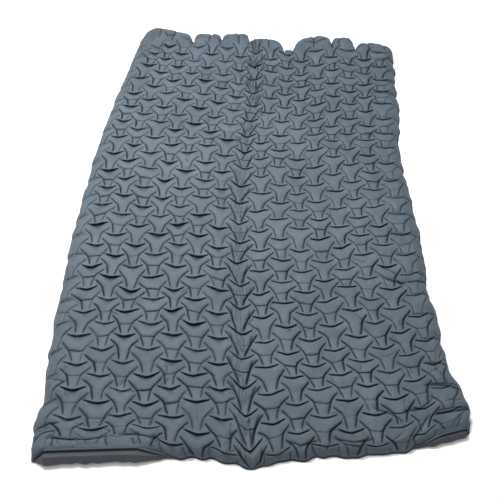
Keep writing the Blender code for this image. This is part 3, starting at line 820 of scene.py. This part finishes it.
def rolled_foot(place, normal, u, from_foot, under):
    """Rolls the foot seam up and in: the top sheet stops short and the underside bulges out past it."""
    share = foot_roll(u) * (from_foot < ROLL_REACH)
    foot_y = smooth_through(FOOT_END, place[:, 0])
    flat_in = place[:, 1] - foot_y
    if under:
        # the same section, drawn smaller where the roll is less
        along = from_foot / np.maximum(share, 1e-4)
        wave = 0.0025 * ragged(place[:, 0] * 1.4, 0.3) * hump(along, 0.045, 0.022)
        curl = smooth_through(ROLL_UNDER_IN, along) + np.maximum(along - ROLL_REACH, 0) + wave
        target_in = FLANGE * (1 - share) + share * curl
        ridge = 0.0035 * hump(along, 0.021, 0.005) - 0.0030 * hump(along, 0.010, 0.004)
        target_z = share * (np.maximum(smooth_through(ROLL_UNDER_Z, along), 0.0) + ridge)
        # where the roll starts, only the seam follows it
        seam_only = (1 - step(0.0, 0.25, share)) * step(0.0, 0.02, from_foot)
        near = step(ROLL_REACH, 0.06, from_foot) * (1 - seam_only) * (share > 1e-4)
        place[:, 1] += near * (target_in - flat_in)
        place[:, 2] += near * (target_z - place[:, 2])
    else:
        end_in = ROLL_REACH - EDGE_SLACK
        target_in = ROLL_SET_IN + (end_in + FLANGE - ROLL_SET_IN) * from_foot / ROLL_REACH
        target_z = smooth_through(ROLL_TOP_Z, from_foot)
        target_in = np.where(from_foot < ROLL_REACH, target_in, flat_in)
        place[:, 1] += share * (target_in - flat_in)
        place[:, 2] += share * (target_z - place[:, 2]) * step(ROLL_REACH, 0.07, from_foot)
        turned = share * step(ROLL_REACH, 0.06, from_foot)
        normal[:, 1] *= 1 - turned
        normal[:, 2] += turned
        normal /= np.linalg.norm(normal, axis=1, keepdims=True)


def head_swell(x, from_head):
    """Lumps and tucks along the head end in millimetres: plump between the tucks."""
    zone = step(0.13, 0.02, from_head)
    lift = 6.0 * step(0.19, 0.06, from_head) * np.ones_like(x)
    lift += 4.0 * hump(x, -0.43, 0.07) * zone
    for place, force in HEAD_NOTCHES:
        slit = unit(1 - np.abs(x - place) / 0.007)
        lift -= force * zone * (17.0 * slit + 12.0 * hump(x, place, 0.020))
    return lift


def top_relief(quilting, u, w, place, inset, from_head):
    """How far each point stands above the rest shape in metres, and its painted shade from 0 to 1, darkest in
    creases.
    """
    x, y = place[:, 0], place[:, 1]
    stroke_depth, stroke_painted_shade, _ = stroke_field(u, w, STROKES)
    fold_depth, fold_painted_shade = fold_wrinkles(u, w)
    calm_fold = 1 - 0.35 * hump(u, 0, 0.5)
    lift = -quilting.depth * calm_fold - stroke_depth - fold_depth
    rough = 1 + 1.2 * step(0.16, 0.04, from_head) * step(-0.30, -0.40, x)
    lift += SWELL * swell(x, y) + rough * (CRUMPLE * crumple(x, y) + FACET * (np.abs(facets(x, y)) - 0.4))
    lift += head_swell(x, from_head)
    squeezed = FREE_LIFT + LIFT_MARGIN * np.tanh((lift - FREE_LIFT) / LIFT_MARGIN)
    lift = np.where(lift > FREE_LIFT, squeezed, lift)
    fade = step(0.0, 0.014, inset)
    dark = np.maximum(np.maximum(quilting.dark, stroke_painted_shade), fold_painted_shade)
    # painted shade towards the foot, along the head margin and in the far left head corner, over an even
    # light shade with random tone per cell and mottle
    corner = step(-5.5, -7.5, u) * step(19.6, 21.0, w)
    ends = 0.10 * step(2.4, 0.3, w) + 0.10 * step(20.0, 21.6, w) + 0.12 * corner
    dark = np.maximum(dark, 0.10 + ends + 0.20 * quilting.tone + 0.08 * facets(x * 0.8, y * 0.8))
    # painted shadow where the cloth turns under at the seam, darkest along the middle of the left edge
    painted_seam_shadow = (SEAM_SHADE + 0.35 * hump(w, 12.8, 4.5) * (u < 0)) * step(0.013, 0.002, inset)
    return lift * fade * MM, np.maximum(unit(dark) * fade, painted_seam_shadow)


# ---------- pieces
BACK_SPACING = 0.045


def flat_outward(normal):
    """The level part of each normal, as a unit vector."""
    flat = normal * (1.0, 1.0, 0.0)
    return flat / np.maximum(np.linalg.norm(flat, axis=1, keepdims=True), 1e-9)


def vertex_normals(co, faces):
    """Unit normals of a triangle mesh's vertices, weighted by the triangles' areas."""
    a, b, c = (co[faces[:, i]] for i in range(3))
    face = np.cross(b - a, c - a)
    normals = np.zeros_like(co)
    for i in range(3):
        np.add.at(normals, faces[:, i], face)
    return normals / np.maximum(np.linalg.norm(normals, axis=1, keepdims=True), 1e-12)


def boundary_loops(faces):
    """Closed loops of vertices round a triangle mesh's open edges, in the direction of its faces."""
    edges = np.concatenate([faces[:, [0, 1]], faces[:, [1, 2]], faces[:, [2, 0]]])
    size = faces.max() + 1
    forward = edges[:, 0].astype(np.int64) * size + edges[:, 1]
    backward = edges[:, 1].astype(np.int64) * size + edges[:, 0]
    open_edges = edges[~np.isin(forward, backward)]
    after = dict(zip(open_edges[:, 0].tolist(), open_edges[:, 1].tolist()))
    loops = []
    while after:
        start, here = after.popitem()
        loop = [start]
        while here != start:
            loop.append(here)
            here = after.pop(here)
        loops.append(loop)
    return loops


def outline_distance(x, y):
    """Distance in from the pad's outline."""
    sides = np.minimum(x - smooth_through(LEFT_EDGE, y), smooth_through(RIGHT_EDGE, y) - x)
    ends = np.minimum(y - smooth_through(FOOT_END, x), smooth_through(HEAD_END, x) - y)
    return np.minimum(sides, ends)


class Sheet:
    """One cloth sheet over the whole pad as numpy arrays, before it is split at the fold."""

    def __init__(self, co, faces, shade):
        self.co, self.faces, self.shade = co, faces, shade

    def add_flange(self, outward, rise, turn_up):
        """Adds the weld flange round the seam: outward is its direction, turn_up the lift of its edge."""
        (loop,) = boundary_loops(self.faces)
        loop = np.array(loop)
        start = len(self.co)
        ripple = Ripple(31, 0.045)
        for ring, reach in ((0, 0.55), (1, 1.0)):
            place = self.co[loop] + outward[loop] * FLANGE * reach
            place[:, 2] += rise + ring * turn_up[loop]
            if rise:
                place[:, 2] += ring * 0.0004 * np.abs(ripple(place[:, 0], place[:, 1]))
            self.co = np.concatenate([self.co, place])
        # the flange carries the painted seam shadow
        self.shade = np.concatenate([self.shade, np.full(2 * len(loop), SEAM_SHADE)])
        rings = [loop, start + np.arange(len(loop)), start + len(loop) + np.arange(len(loop))]
        for inner, outer in zip(rings, rings[1:]):
            a, b = inner, np.roll(inner, -1)
            a_out, b_out = outer, np.roll(outer, -1)
            quads = [np.stack([a, a_out, b_out], 1), np.stack([a, b_out, b], 1)]
            self.faces = np.concatenate([self.faces, *quads])

    def split_at_fold(self):
        """Cuts straight lines either side of the fold and returns the left, fold and right parts."""
        bm = as_bmesh(self.co, self.faces)
        layer = bm.verts.layers.float.new("shade")
        for vertex, value in zip(bm.verts, self.shade.tolist()):
            vertex[layer] = value
        for cut in (BAND_LEFT, BAND_RIGHT):
            near = [f for f in bm.faces if any(abs(v.co.x - cut) < 0.02 for v in f.verts)]
            near_edges, near_verts = {e for f in near for e in f.edges}, {v for f in near for v in f.verts}
            geometry = list(near_edges) + near + list(near_verts)
            bmesh.ops.bisect_plane(bm, geom=geometry, dist=1e-6, plane_co=(cut, 0, 0), plane_no=(1, 0, 0))
        bmesh.ops.triangulate(bm, faces=[f for f in bm.faces if len(f.verts) > 3])
        co, faces, shade = as_arrays(bm)
        normals = vertex_normals(co, faces)
        middle = co[faces, 0].mean(axis=1)
        parts = {}
        for name, chosen in (
            ("left", middle < BAND_LEFT),
            ("fold", (middle >= BAND_LEFT) & (middle <= BAND_RIGHT)),
            ("right", middle > BAND_RIGHT),
        ):
            used, renumbered = np.unique(faces[chosen], return_inverse=True)
            parts[name] = (co[used], renumbered.reshape(-1, 3), normals[used], shade[used])
        return parts


def closed_piece(name, co, faces, normals, shade, back_z, front_down):
    """Closes one part of a sheet with a plain back at back_z(x, y) and makes the object.

    front_down is True for the underside. The back's triangles are wound the same way round as the front's.
    """
    spacing, clearance = BACK_SPACING, 0.35 * BACK_SPACING
    loops = sorted(boundary_loops(faces), key=len, reverse=True)
    rim = np.concatenate([np.array(loop) for loop in loops])
    start = len(co)
    edges, first = [], 0
    for loop in loops:
        count = len(loop)
        edges += [(first + i, first + (i + 1) % count) for i in range(count)]
        first += count
    low, high = co[rim].min(axis=0), co[rim].max(axis=0)
    grid_x = np.arange(low[0] + spacing / 2, high[0], spacing)
    grid_y = np.arange(low[1] + spacing / 2, high[1], spacing)
    inner = np.array([(x, y) for x in grid_x for y in grid_y])
    gap = np.array([np.min(np.hypot(*(co[rim, :2] - p).T)) for p in inner])
    inside = outline_distance(inner[:, 0], inner[:, 1]) > clearance
    if len(loops) > 1:
        inside &= from_valve(inner[:, 0], inner[:, 1]) > VALVE_HOLE
    inner = inner[(gap > clearance) & inside]
    flat = [Vector(p) for p in np.concatenate([co[rim, :2], inner])]
    made = delaunay_2d_cdt(flat, edges, [], 1, 1e-9)
    back_faces = []
    hole_first = len(loops[0])
    for triangle in made[2]:
        corners = [made[3][v][0] for v in triangle]
        in_hole = len(loops) > 1 and all(hole_first <= c < first for c in corners)
        if not in_hole:
            back_faces.append(corners)
    back_faces = np.array(back_faces)
    flat = np.array([tuple(p) for p in flat])
    back = np.column_stack([flat, back_z(flat[:, 0], flat[:, 1])])
    a, b = flat[back_faces[:, 1]] - flat[back_faces[:, 0]], flat[back_faces[:, 2]] - flat[back_faces[:, 0]]
    facing_up = (a[:, 0] * b[:, 1] - a[:, 1] * b[:, 0]) > 0
    turned = facing_up if front_down else ~facing_up
    back_faces[turned] = back_faces[turned][:, ::-1]
    walls, first = [], 0
    for loop in loops:
        count = len(loop)
        front = np.array(loop)
        behind = start + first + np.arange(count)
        front_next, behind_next = np.roll(front, -1), np.roll(behind, -1)
        walls.append(np.stack([front, behind, behind_next], 1))
        walls.append(np.stack([front, behind_next, front_next], 1))
        first += count
    all_co = np.concatenate([co, back])
    all_faces = np.concatenate([faces, *walls, back_faces + start])
    mesh = bpy.data.meshes.new(name)
    fill_mesh(mesh, all_co, all_faces)
    smooth = np.zeros(len(all_faces), bool)
    smooth[: len(faces)] = True
    mesh.polygons.foreach_set("use_smooth", smooth)
    # the crease attribute carries the painted shade, which the material mixes towards its crease colour
    crease = mesh.attributes.new("crease", "FLOAT", "POINT")
    crease.data.foreach_set("value", np.concatenate([shade, np.zeros(len(back))]).astype(np.float32))
    loop_normals = np.zeros((3 * len(all_faces), 3))
    loop_normals[: 3 * len(faces)] = normals[faces.ravel()]
    mesh.normals_split_custom_set(loop_normals.tolist())
    piece = bpy.data.objects.new(name, mesh)
    bpy.context.scene.collection.objects.link(piece)
    return piece


def closed_pieces(plan, parts, back_z, front_down):
    """The pieces of one sheet by side: plan gives each side's piece name, body and the node it replaces."""
    names = {side: name for side, (name, _, _) in plan.items()}
    return {side: closed_piece(name, *parts[side], back_z, front_down) for side, name in names.items()}


# ---------- top quilt
# Lines of points along each weld: offset from it, and the least gap to the points before, in cell heights
WELD_LINES = (
    (0.0, 0), (-0.020, 0), (0.020, 0), (-0.044, 0.022), (0.044, 0.022), (-0.095, 0.042), (0.095, 0.042),
)


def refined(uw, faces, passes, wanted):
    """Splits the edges longer than wanted(u, w), the longest edge allowed at each point in metres."""
    bm = as_bmesh(np.column_stack([uw, np.zeros(len(uw))]), faces)
    for _ in range(passes):
        co = np.array([v.co[:2] for v in bm.verts])
        limit = wanted(co[:, 0], co[:, 1])
        bm.verts.index_update()
        bm.edges.ensure_lookup_table()
        ends = np.array([(e.verts[0].index, e.verts[1].index) for e in bm.edges])
        delta = (co[ends[:, 0]] - co[ends[:, 1]]) * (COLUMN_METRES, CELL)
        length = np.hypot(delta[:, 0], delta[:, 1])
        chosen = np.nonzero(length > np.minimum(limit[ends[:, 0]], limit[ends[:, 1]]))[0]
        edges = [bm.edges[i] for i in chosen]
        bmesh.ops.subdivide_edges(bm, edges=edges, cuts=1)
        bmesh.ops.triangulate(bm, faces=[f for f in bm.faces if len(f.verts) > 3])
    co, faces, _ = as_arrays(bm)
    return co[:, :2], faces


def top_edge_limit(u, w):
    """Fine where single creases and the fold's wrinkles run."""
    nearest = stroke_field(u, w, STROKES)[2]
    limit = np.where(nearest < 0.0046, 0.0037, 1.0)
    limit = np.where(w > 21.2, np.minimum(limit, 0.0048), limit)
    return np.where(np.abs(u) < 0.62, 0.0036, limit)


def build_top():
    """The top sheet's left, fold and right parts, with all its relief."""
    lattice = tiled_sheet(stations=15, offsets=WELD_LINES, spacing=0.098, seed=3)
    uw, faces = refined(*lattice, 2, top_edge_limit)
    u, w = uw[:, 0], uw[:, 1]
    quilting = Quilting(u, w)
    drift_u, drift_w = lattice_shift(u, w, quilting)
    place, normal, inset, from_foot, from_head = laid_out(u + drift_u, w + drift_w)
    outward = flat_outward(normal)
    rolled_foot(place, normal, u, from_foot, False)
    lift, shade = top_relief(quilting, u, w, place, inset, from_head)
    sheet = Sheet(place + normal * lift[:, None], faces, shade)
    sheet.add_flange(outward, -0.0001, 0.004 * foot_roll(u) * (from_foot < 0.001))
    return sheet.split_at_fold()


def quilt_back(x, y):
    """Inner face of the top pieces: thin at the flange, clear of the bottom sheet, raised over the valve."""
    base = 2 * CLOTH + 0.0044 * step(0.004, 0.030, outline_distance(x, y))
    return base + VALVE_ROOM * step(0.085, 0.055, from_valve(x, y))


QUILTS = {
    "left": ("left_quilted_top", "left_half", "left_top_sheet"),
    "fold": ("fold_quilted_top", None, "fold_band_top_sheet"),
    "right": ("right_quilted_top", "right_half", "right_top_sheet"),
}
quilts = closed_pieces(QUILTS, build_top(), quilt_back, False)


# ---------- underside
UNDER_LINES = ((0.0, 0), (-0.040, 0.024), (0.040, 0.024))
# The underside's relief as a share of the top's, and its limit in millimetres
UNDER_SHARE, UNDER_DEEPEST = 0.42, 3.2


def under_edge_limit(u, w):
    """Fine where the cloth rolls up at the foot."""
    return np.where((foot_roll(u) > 0) & (w < 0.65), 0.0042, 1.0)


def build_underside():
    """The bottom sheet's left, fold and right parts: coarser and flatter, and open at the valve."""
    lattice = tiled_sheet(stations=9, offsets=UNDER_LINES, spacing=0.16, seed=5)
    uw, faces = refined(*lattice, 3, under_edge_limit)
    u, w = uw[:, 0], uw[:, 1]
    quilting = Quilting(u, w)
    # the welds don't pull where the foot is rolled, because the roll already crowds the cloth there
    free = step(1.0, 2.4, w)
    quilting.du, quilting.dw = free * quilting.du, free * quilting.dw
    drift_u, drift_w = lattice_shift(u, w, quilting)
    place, normal, inset, from_foot, _ = laid_out(u + drift_u, w + drift_w)
    outward = flat_outward(normal)
    # the bottom lies flat, so its cloth is spread evenly where the top sheet turns down
    spread = unit(1 - inset / EDGE_ARC)
    shift = EDGE_RADIUS * (spread - np.hypot(normal[:, 0], normal[:, 1]))
    place[:, :2] += outward[:, :2] * shift[:, None]
    # flat round the valve and at the seam
    calm = step(0.070, 0.120, from_valve(place[:, 0], place[:, 1])) * step(0.010, 0.070, inset)
    calm = calm * (1 - foot_roll(u) * (from_foot < 0.075))
    place[:, 2] = 0.0
    rolled_foot(place, normal, u, from_foot, True)
    place[:, 2] += np.clip(UNDER_SHARE * quilting.depth, 0, UNDER_DEEPEST) * MM * calm
    # painted shadow in the gap under the rolled foot, with the welds' painted crease shade
    gap = np.minimum(1.4 * foot_roll(u), 1) * step(0.016, 0.005, from_foot)
    sheet = Sheet(place, faces, np.maximum(quilting.dark * calm, gap))
    sheet.add_flange(outward, 0.0, 0.0025 * foot_roll(u) * (from_foot < 0.001))
    sheet.faces = sheet.faces[:, ::-1]
    parts = sheet.split_at_fold()
    parts["left"] = with_valve_hole(*parts["left"])
    return parts


def with_valve_hole(co, faces, normals, shade):
    """Opens the round hole that the valve patch is welded across."""
    away = from_valve(co[:, 0], co[:, 1])
    faces = faces[(away[faces] > VALVE_HOLE).any(axis=1)]
    used, renumbered = np.unique(faces, return_inverse=True)
    faces = renumbered.reshape(-1, 3)
    co, normals, shade = co[used], normals[used], shade[used]
    rim = np.array(min(boundary_loops(faces), key=len))
    angle = np.unwrap(np.arctan2(co[rim, 1] - VALVE.y, co[rim, 0] - VALVE.x))
    even = math.copysign(2 * math.pi, angle[-1] - angle[0]) * np.arange(len(rim)) / len(rim)
    angle = even + np.mean(angle - even)
    co[rim, 0] = VALVE.x + VALVE_HOLE * np.cos(angle)
    co[rim, 1] = VALVE.y + VALVE_HOLE * np.sin(angle)
    co[rim, 2] = 0.0
    return co, faces, normals, shade


def under_back(x, y):
    """Inner face of the bottom sheet pieces: cloth-thin at the flange and round the valve hole."""
    rise = step(0.004, 0.026, outline_distance(x, y)) * step(0.052, 0.075, from_valve(x, y))
    return CLOTH + 0.0035 * rise


UNDERSIDES = {
    "left": ("left_underside", "left_half", "left_bottom_sheet"),
    "fold": ("fold_underside", None, "fold_band_bottom_sheet"),
    "right": ("right_underside", "right_half", "right_bottom_sheet"),
}
undersides = closed_pieces(UNDERSIDES, build_underside(), under_back, True)


# ---------- materials
def new_material(name):
    """An empty material with its node tree and shader."""
    made = bpy.data.materials.new(name)
    made.use_nodes = True
    return made, made.node_tree, made.node_tree.nodes["Principled BSDF"]


def node(tree, kind, **settings):
    """Adds a node. Settings are its inputs by name, or else its attributes."""
    made = tree.nodes.new(kind)
    for key, value in settings.items():
        if key in made.inputs:
            made.inputs[key].default_value = value
        else:
            setattr(made, key.lower().replace(" ", "_"), value)
    return made


def ramp(tree, source, stops):
    """Colour looked up in (position, colour) stops."""
    made = tree.nodes.new("ShaderNodeValToRGB")
    made.color_ramp.elements[0].position, made.color_ramp.elements[0].color = stops[0]
    made.color_ramp.elements[1].position, made.color_ramp.elements[1].color = stops[-1]
    for position, colour in stops[1:-1]:
        made.color_ramp.elements.new(position).color = colour
    tree.links.new(source, made.inputs["Fac"])
    return made.outputs["Color"]


def math_node(tree, operation, a, b):
    """a and b, each a number or a socket, put through one operation."""
    made = tree.nodes.new("ShaderNodeMath")
    made.operation = operation
    for socket, value in zip(made.inputs, (a, b)):
        if isinstance(value, (int, float)):
            socket.default_value = value
        else:
            tree.links.new(value, socket)
    return made.outputs["Value"]


def scaled(tree, value, factor, plus):
    """value * factor + plus"""
    return math_node(tree, "ADD", math_node(tree, "MULTIPLY", value, factor), plus)


def weighted(tree, a, share_a, b, share_b):
    """a * share_a + b * share_b"""
    return scaled(tree, a, share_a, math_node(tree, "MULTIPLY", b, share_b))


def mix_colour(tree, factor, a, b, blend="MIX"):
    """Mixes colours a and b. All three may be sockets or values."""
    made = tree.nodes.new("ShaderNodeMix")
    made.data_type = "RGBA"
    made.blend_type = blend
    for socket, value in ((made.inputs["Factor"], factor), (made.inputs["A"], a), (made.inputs["B"], b)):
        if isinstance(value, bpy.types.NodeSocket):
            tree.links.new(value, socket)
        else:
            socket.default_value = value
    return made.outputs["Result"]


def woven_cloth(name, pale, deep, crease, roughness, sheen):
    """Coated woven polyester: fine crossed threads, cloudy colour, and painted shade from the crease
    attribute, darkest in creases and along seams.
    """
    made, tree, shader = new_material(name)
    link = tree.links.new
    place = tree.nodes.new("ShaderNodeTexCoord").outputs["Object"]

    def noise(scale, detail, **more):
        n = node(tree, "ShaderNodeTexNoise", Scale=scale, Detail=detail, **more)
        link(place, n.inputs["Vector"])
        return n.outputs["Fac"]

    def threads(direction):
        n = node(tree, "ShaderNodeTexWave", Scale=330.0, Distortion=0.6, Detail=1.0)
        n.bands_direction = direction
        link(place, n.inputs["Vector"])
        return n.outputs["Fac"]

    cloud = noise(3.5, 3.0)
    mottle = noise(42.0, 4.0)
    slub = noise(420.0, 2.0)
    rumple = noise(55.0, 3.0, Distortion=0.8)
    tone = weighted(tree, cloud, 0.65, mottle, 0.35)
    colour = ramp(tree, tone, ((0.30, deep), (0.70, pale)))
    # painted shade: the crease attribute mixes the colour towards the crease colour
    fold_shade = node(tree, "ShaderNodeAttribute")
    fold_shade.attribute_name = "crease"
    depth = math_node(tree, "MULTIPLY", fold_shade.outputs["Fac"], 0.97)
    colour = mix_colour(tree, depth, colour, crease)
    weave = math_node(tree, "MAXIMUM", threads("X"), threads("Y"))
    thread_tone = scaled(tree, weave, 0.10, 0.93)
    grey = tree.nodes.new("ShaderNodeCombineColor")
    for socket in grey.inputs:
        link(thread_tone, socket)
    colour = mix_colour(tree, 1.0, colour, grey.outputs["Color"], "MULTIPLY")
    link(colour, shader.inputs["Base Color"])
    rough = scaled(tree, mottle, 0.16, roughness - 0.08)
    link(rough, shader.inputs["Roughness"])
    shader.inputs["Sheen Weight"].default_value = sheen
    shader.inputs["Sheen Roughness"].default_value = 0.45
    shader.inputs["Specular IOR Level"].default_value = 0.42
    height = weighted(tree, weave, 0.5, slub, 0.8)
    soft = node(tree, "ShaderNodeBump", Strength=0.55, Distance=0.0035)
    link(rumple, soft.inputs["Height"])
    bump = node(tree, "ShaderNodeBump", Strength=0.35, Distance=0.0004)
    link(height, bump.inputs["Height"])
    link(soft.outputs["Normal"], bump.inputs["Normal"])
    link(bump.outputs["Normal"], shader.inputs["Normal"])
    return made


def moulded(name, pale, deep, roughness):
    """Moulded plastic or silicone: faint mottling, spark-eroded grain and rubbed edges."""
    made, tree, shader = new_material(name)
    link = tree.links.new
    place = tree.nodes.new("ShaderNodeTexCoord").outputs["Object"]
    cloud = node(tree, "ShaderNodeTexNoise", Scale=160.0, Detail=3.0)
    grain = node(tree, "ShaderNodeTexNoise", Scale=2600.0, Detail=2.0)
    for n in (cloud, grain):
        link(place, n.inputs["Vector"])
    edge = tree.nodes.new("ShaderNodeNewGeometry").outputs["Pointiness"]
    worn = ramp(tree, edge, ((0.50, (0, 0, 0, 1)), (0.60, (1, 1, 1, 1))))
    colour = ramp(tree, cloud.outputs["Fac"], ((0.35, deep), (0.65, pale)))
    lighter = tuple(min(1.0, 1.6 * c + 0.01) for c in pale[:3]) + (1.0,)
    colour = mix_colour(tree, math_node(tree, "MULTIPLY", worn, 0.5), colour, lighter)
    link(colour, shader.inputs["Base Color"])
    rough = scaled(tree, cloud.outputs["Fac"], 0.2, roughness - 0.1)
    link(rough, shader.inputs["Roughness"])
    bump = node(tree, "ShaderNodeBump", Strength=0.25, Distance=0.00008)
    link(grain.outputs["Fac"], bump.inputs["Height"])
    link(bump.outputs["Normal"], shader.inputs["Normal"])
    return made


TOP_CLOTH = woven_cloth(
    "slate_blue_cloth",
    pale=(0.084, 0.114, 0.141, 1),
    deep=(0.060, 0.083, 0.104, 1),
    # crease: colour of the painted shade in creases and at seams
    crease=(0.003, 0.007, 0.013, 1),
    roughness=0.68,
    sheen=0.04,
)
UNDER_CLOTH = woven_cloth(
    "charcoal_cloth",
    pale=(0.056, 0.059, 0.074, 1),
    deep=(0.038, 0.041, 0.053, 1),
    crease=(0.006, 0.007, 0.011, 1),
    roughness=0.70,
    # crease: colour of the painted shade in creases and at seams
    sheen=0.06,
)
BLACK_PLASTIC = moulded("black_plastic", (0.030, 0.031, 0.034, 1), (0.020, 0.021, 0.024, 1), 0.46)
GREY_SILICONE = moulded("grey_silicone", (0.32, 0.33, 0.34, 1), (0.26, 0.27, 0.28, 1), 0.42)

for group, cloth, slot, plan in (
    (quilts, TOP_CLOTH, "top_fabric", QUILTS),
    (undersides, UNDER_CLOTH, "bottom_fabric", UNDERSIDES),
):
    for key, (name, body, node_name) in plan.items():
        piece = group[key]
        piece.data.materials.append(cloth)
        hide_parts(node_name)
        if body:
            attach(piece, body)
        else:
            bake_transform(piece)

VALVE_MATERIALS = {
    "valve_patch": UNDER_CLOTH,
    "valve_base": BLACK_PLASTIC,
    "plug_tether": BLACK_PLASTIC,
    "deflate_plug": BLACK_PLASTIC,
    "cap_tether": BLACK_PLASTIC,
    "inflate_cap": BLACK_PLASTIC,
    "plug_seal_ring": GREY_SILICONE,
    "check_diaphragm": GREY_SILICONE,
}
for name, finish in VALVE_MATERIALS.items():
    for place in frame["nodes"][name].material_slots:
        place.material = finish


# ---------- studio
# How far the floor lies below the pad, so that they don't flicker
FLOOR_GAP = 0.0003


def build_floor():
    """Plain pale floor that is staging, not part of the pad."""
    mesh = bpy.data.meshes.new("studio_floor")
    half = 9.0
    corners = [(-half, -half, 0), (half, -half, 0), (half, half, 0), (-half, half, 0)]
    mesh.from_pydata(corners, [], [(0, 1, 2, 3)])
    floor = bpy.data.objects.new("studio_floor", mesh)
    floor.location.z = -FLOOR_GAP
    bpy.context.scene.collection.objects.link(floor)
    made, _, shader = new_material("pale_floor")
    shader.inputs["Base Color"].default_value = (0.90, 0.90, 0.90, 1)
    shader.inputs["Roughness"].default_value = 0.8
    floor.data.materials.append(made)


def area_light(name, place, target, size, power):
    """Round soft light aimed at target."""
    light = bpy.data.lights.new(name, "AREA")
    light.shape = "DISK"
    light.size = size
    light.energy = power
    holder = bpy.data.objects.new(name, light)
    holder.location = place
    holder.rotation_euler = (Vector(target) - Vector(place)).to_track_quat("-Z", "Y").to_euler()
    bpy.context.scene.collection.objects.link(holder)


def build_studio():
    """Floor, a key light from the far left, a broad overhead light and a pale sky."""
    build_floor()
    area_light("key_light", (-0.7, 0.7, 2.4), target=(0, 0.2, 0), size=0.8, power=100)
    area_light("overhead_light", (-0.6, 0.0, 4.2), target=(0, 0, 0), size=3.6, power=50)
    world = bpy.data.worlds.new("soft_sky")
    world.use_nodes = True
    background = world.node_tree.nodes["Background"]
    background.inputs["Color"].default_value = (1, 1, 1, 1)
    background.inputs["Strength"].default_value = 0.36
    bpy.context.scene.world = world
    bpy.context.scene.view_settings.view_transform = "Standard"


# The photograph's angle: held over the foot end, tipped forward from straight down
CAMERA_PLACE = (-0.0103, -1.128, 1.586)
CAMERA_TILT = math.radians(30)
CAMERA_LENS = 36.0


def build_camera():
    lens = bpy.data.cameras.new("camera")
    lens.sensor_width = 36.0
    lens.lens = CAMERA_LENS
    holder = bpy.data.objects.new("camera", lens)
    holder.location = CAMERA_PLACE
    holder.rotation_euler = (CAMERA_TILT, 0, 0)
    bpy.context.scene.collection.objects.link(holder)
    bpy.context.scene.camera = holder


build_studio()
build_camera()
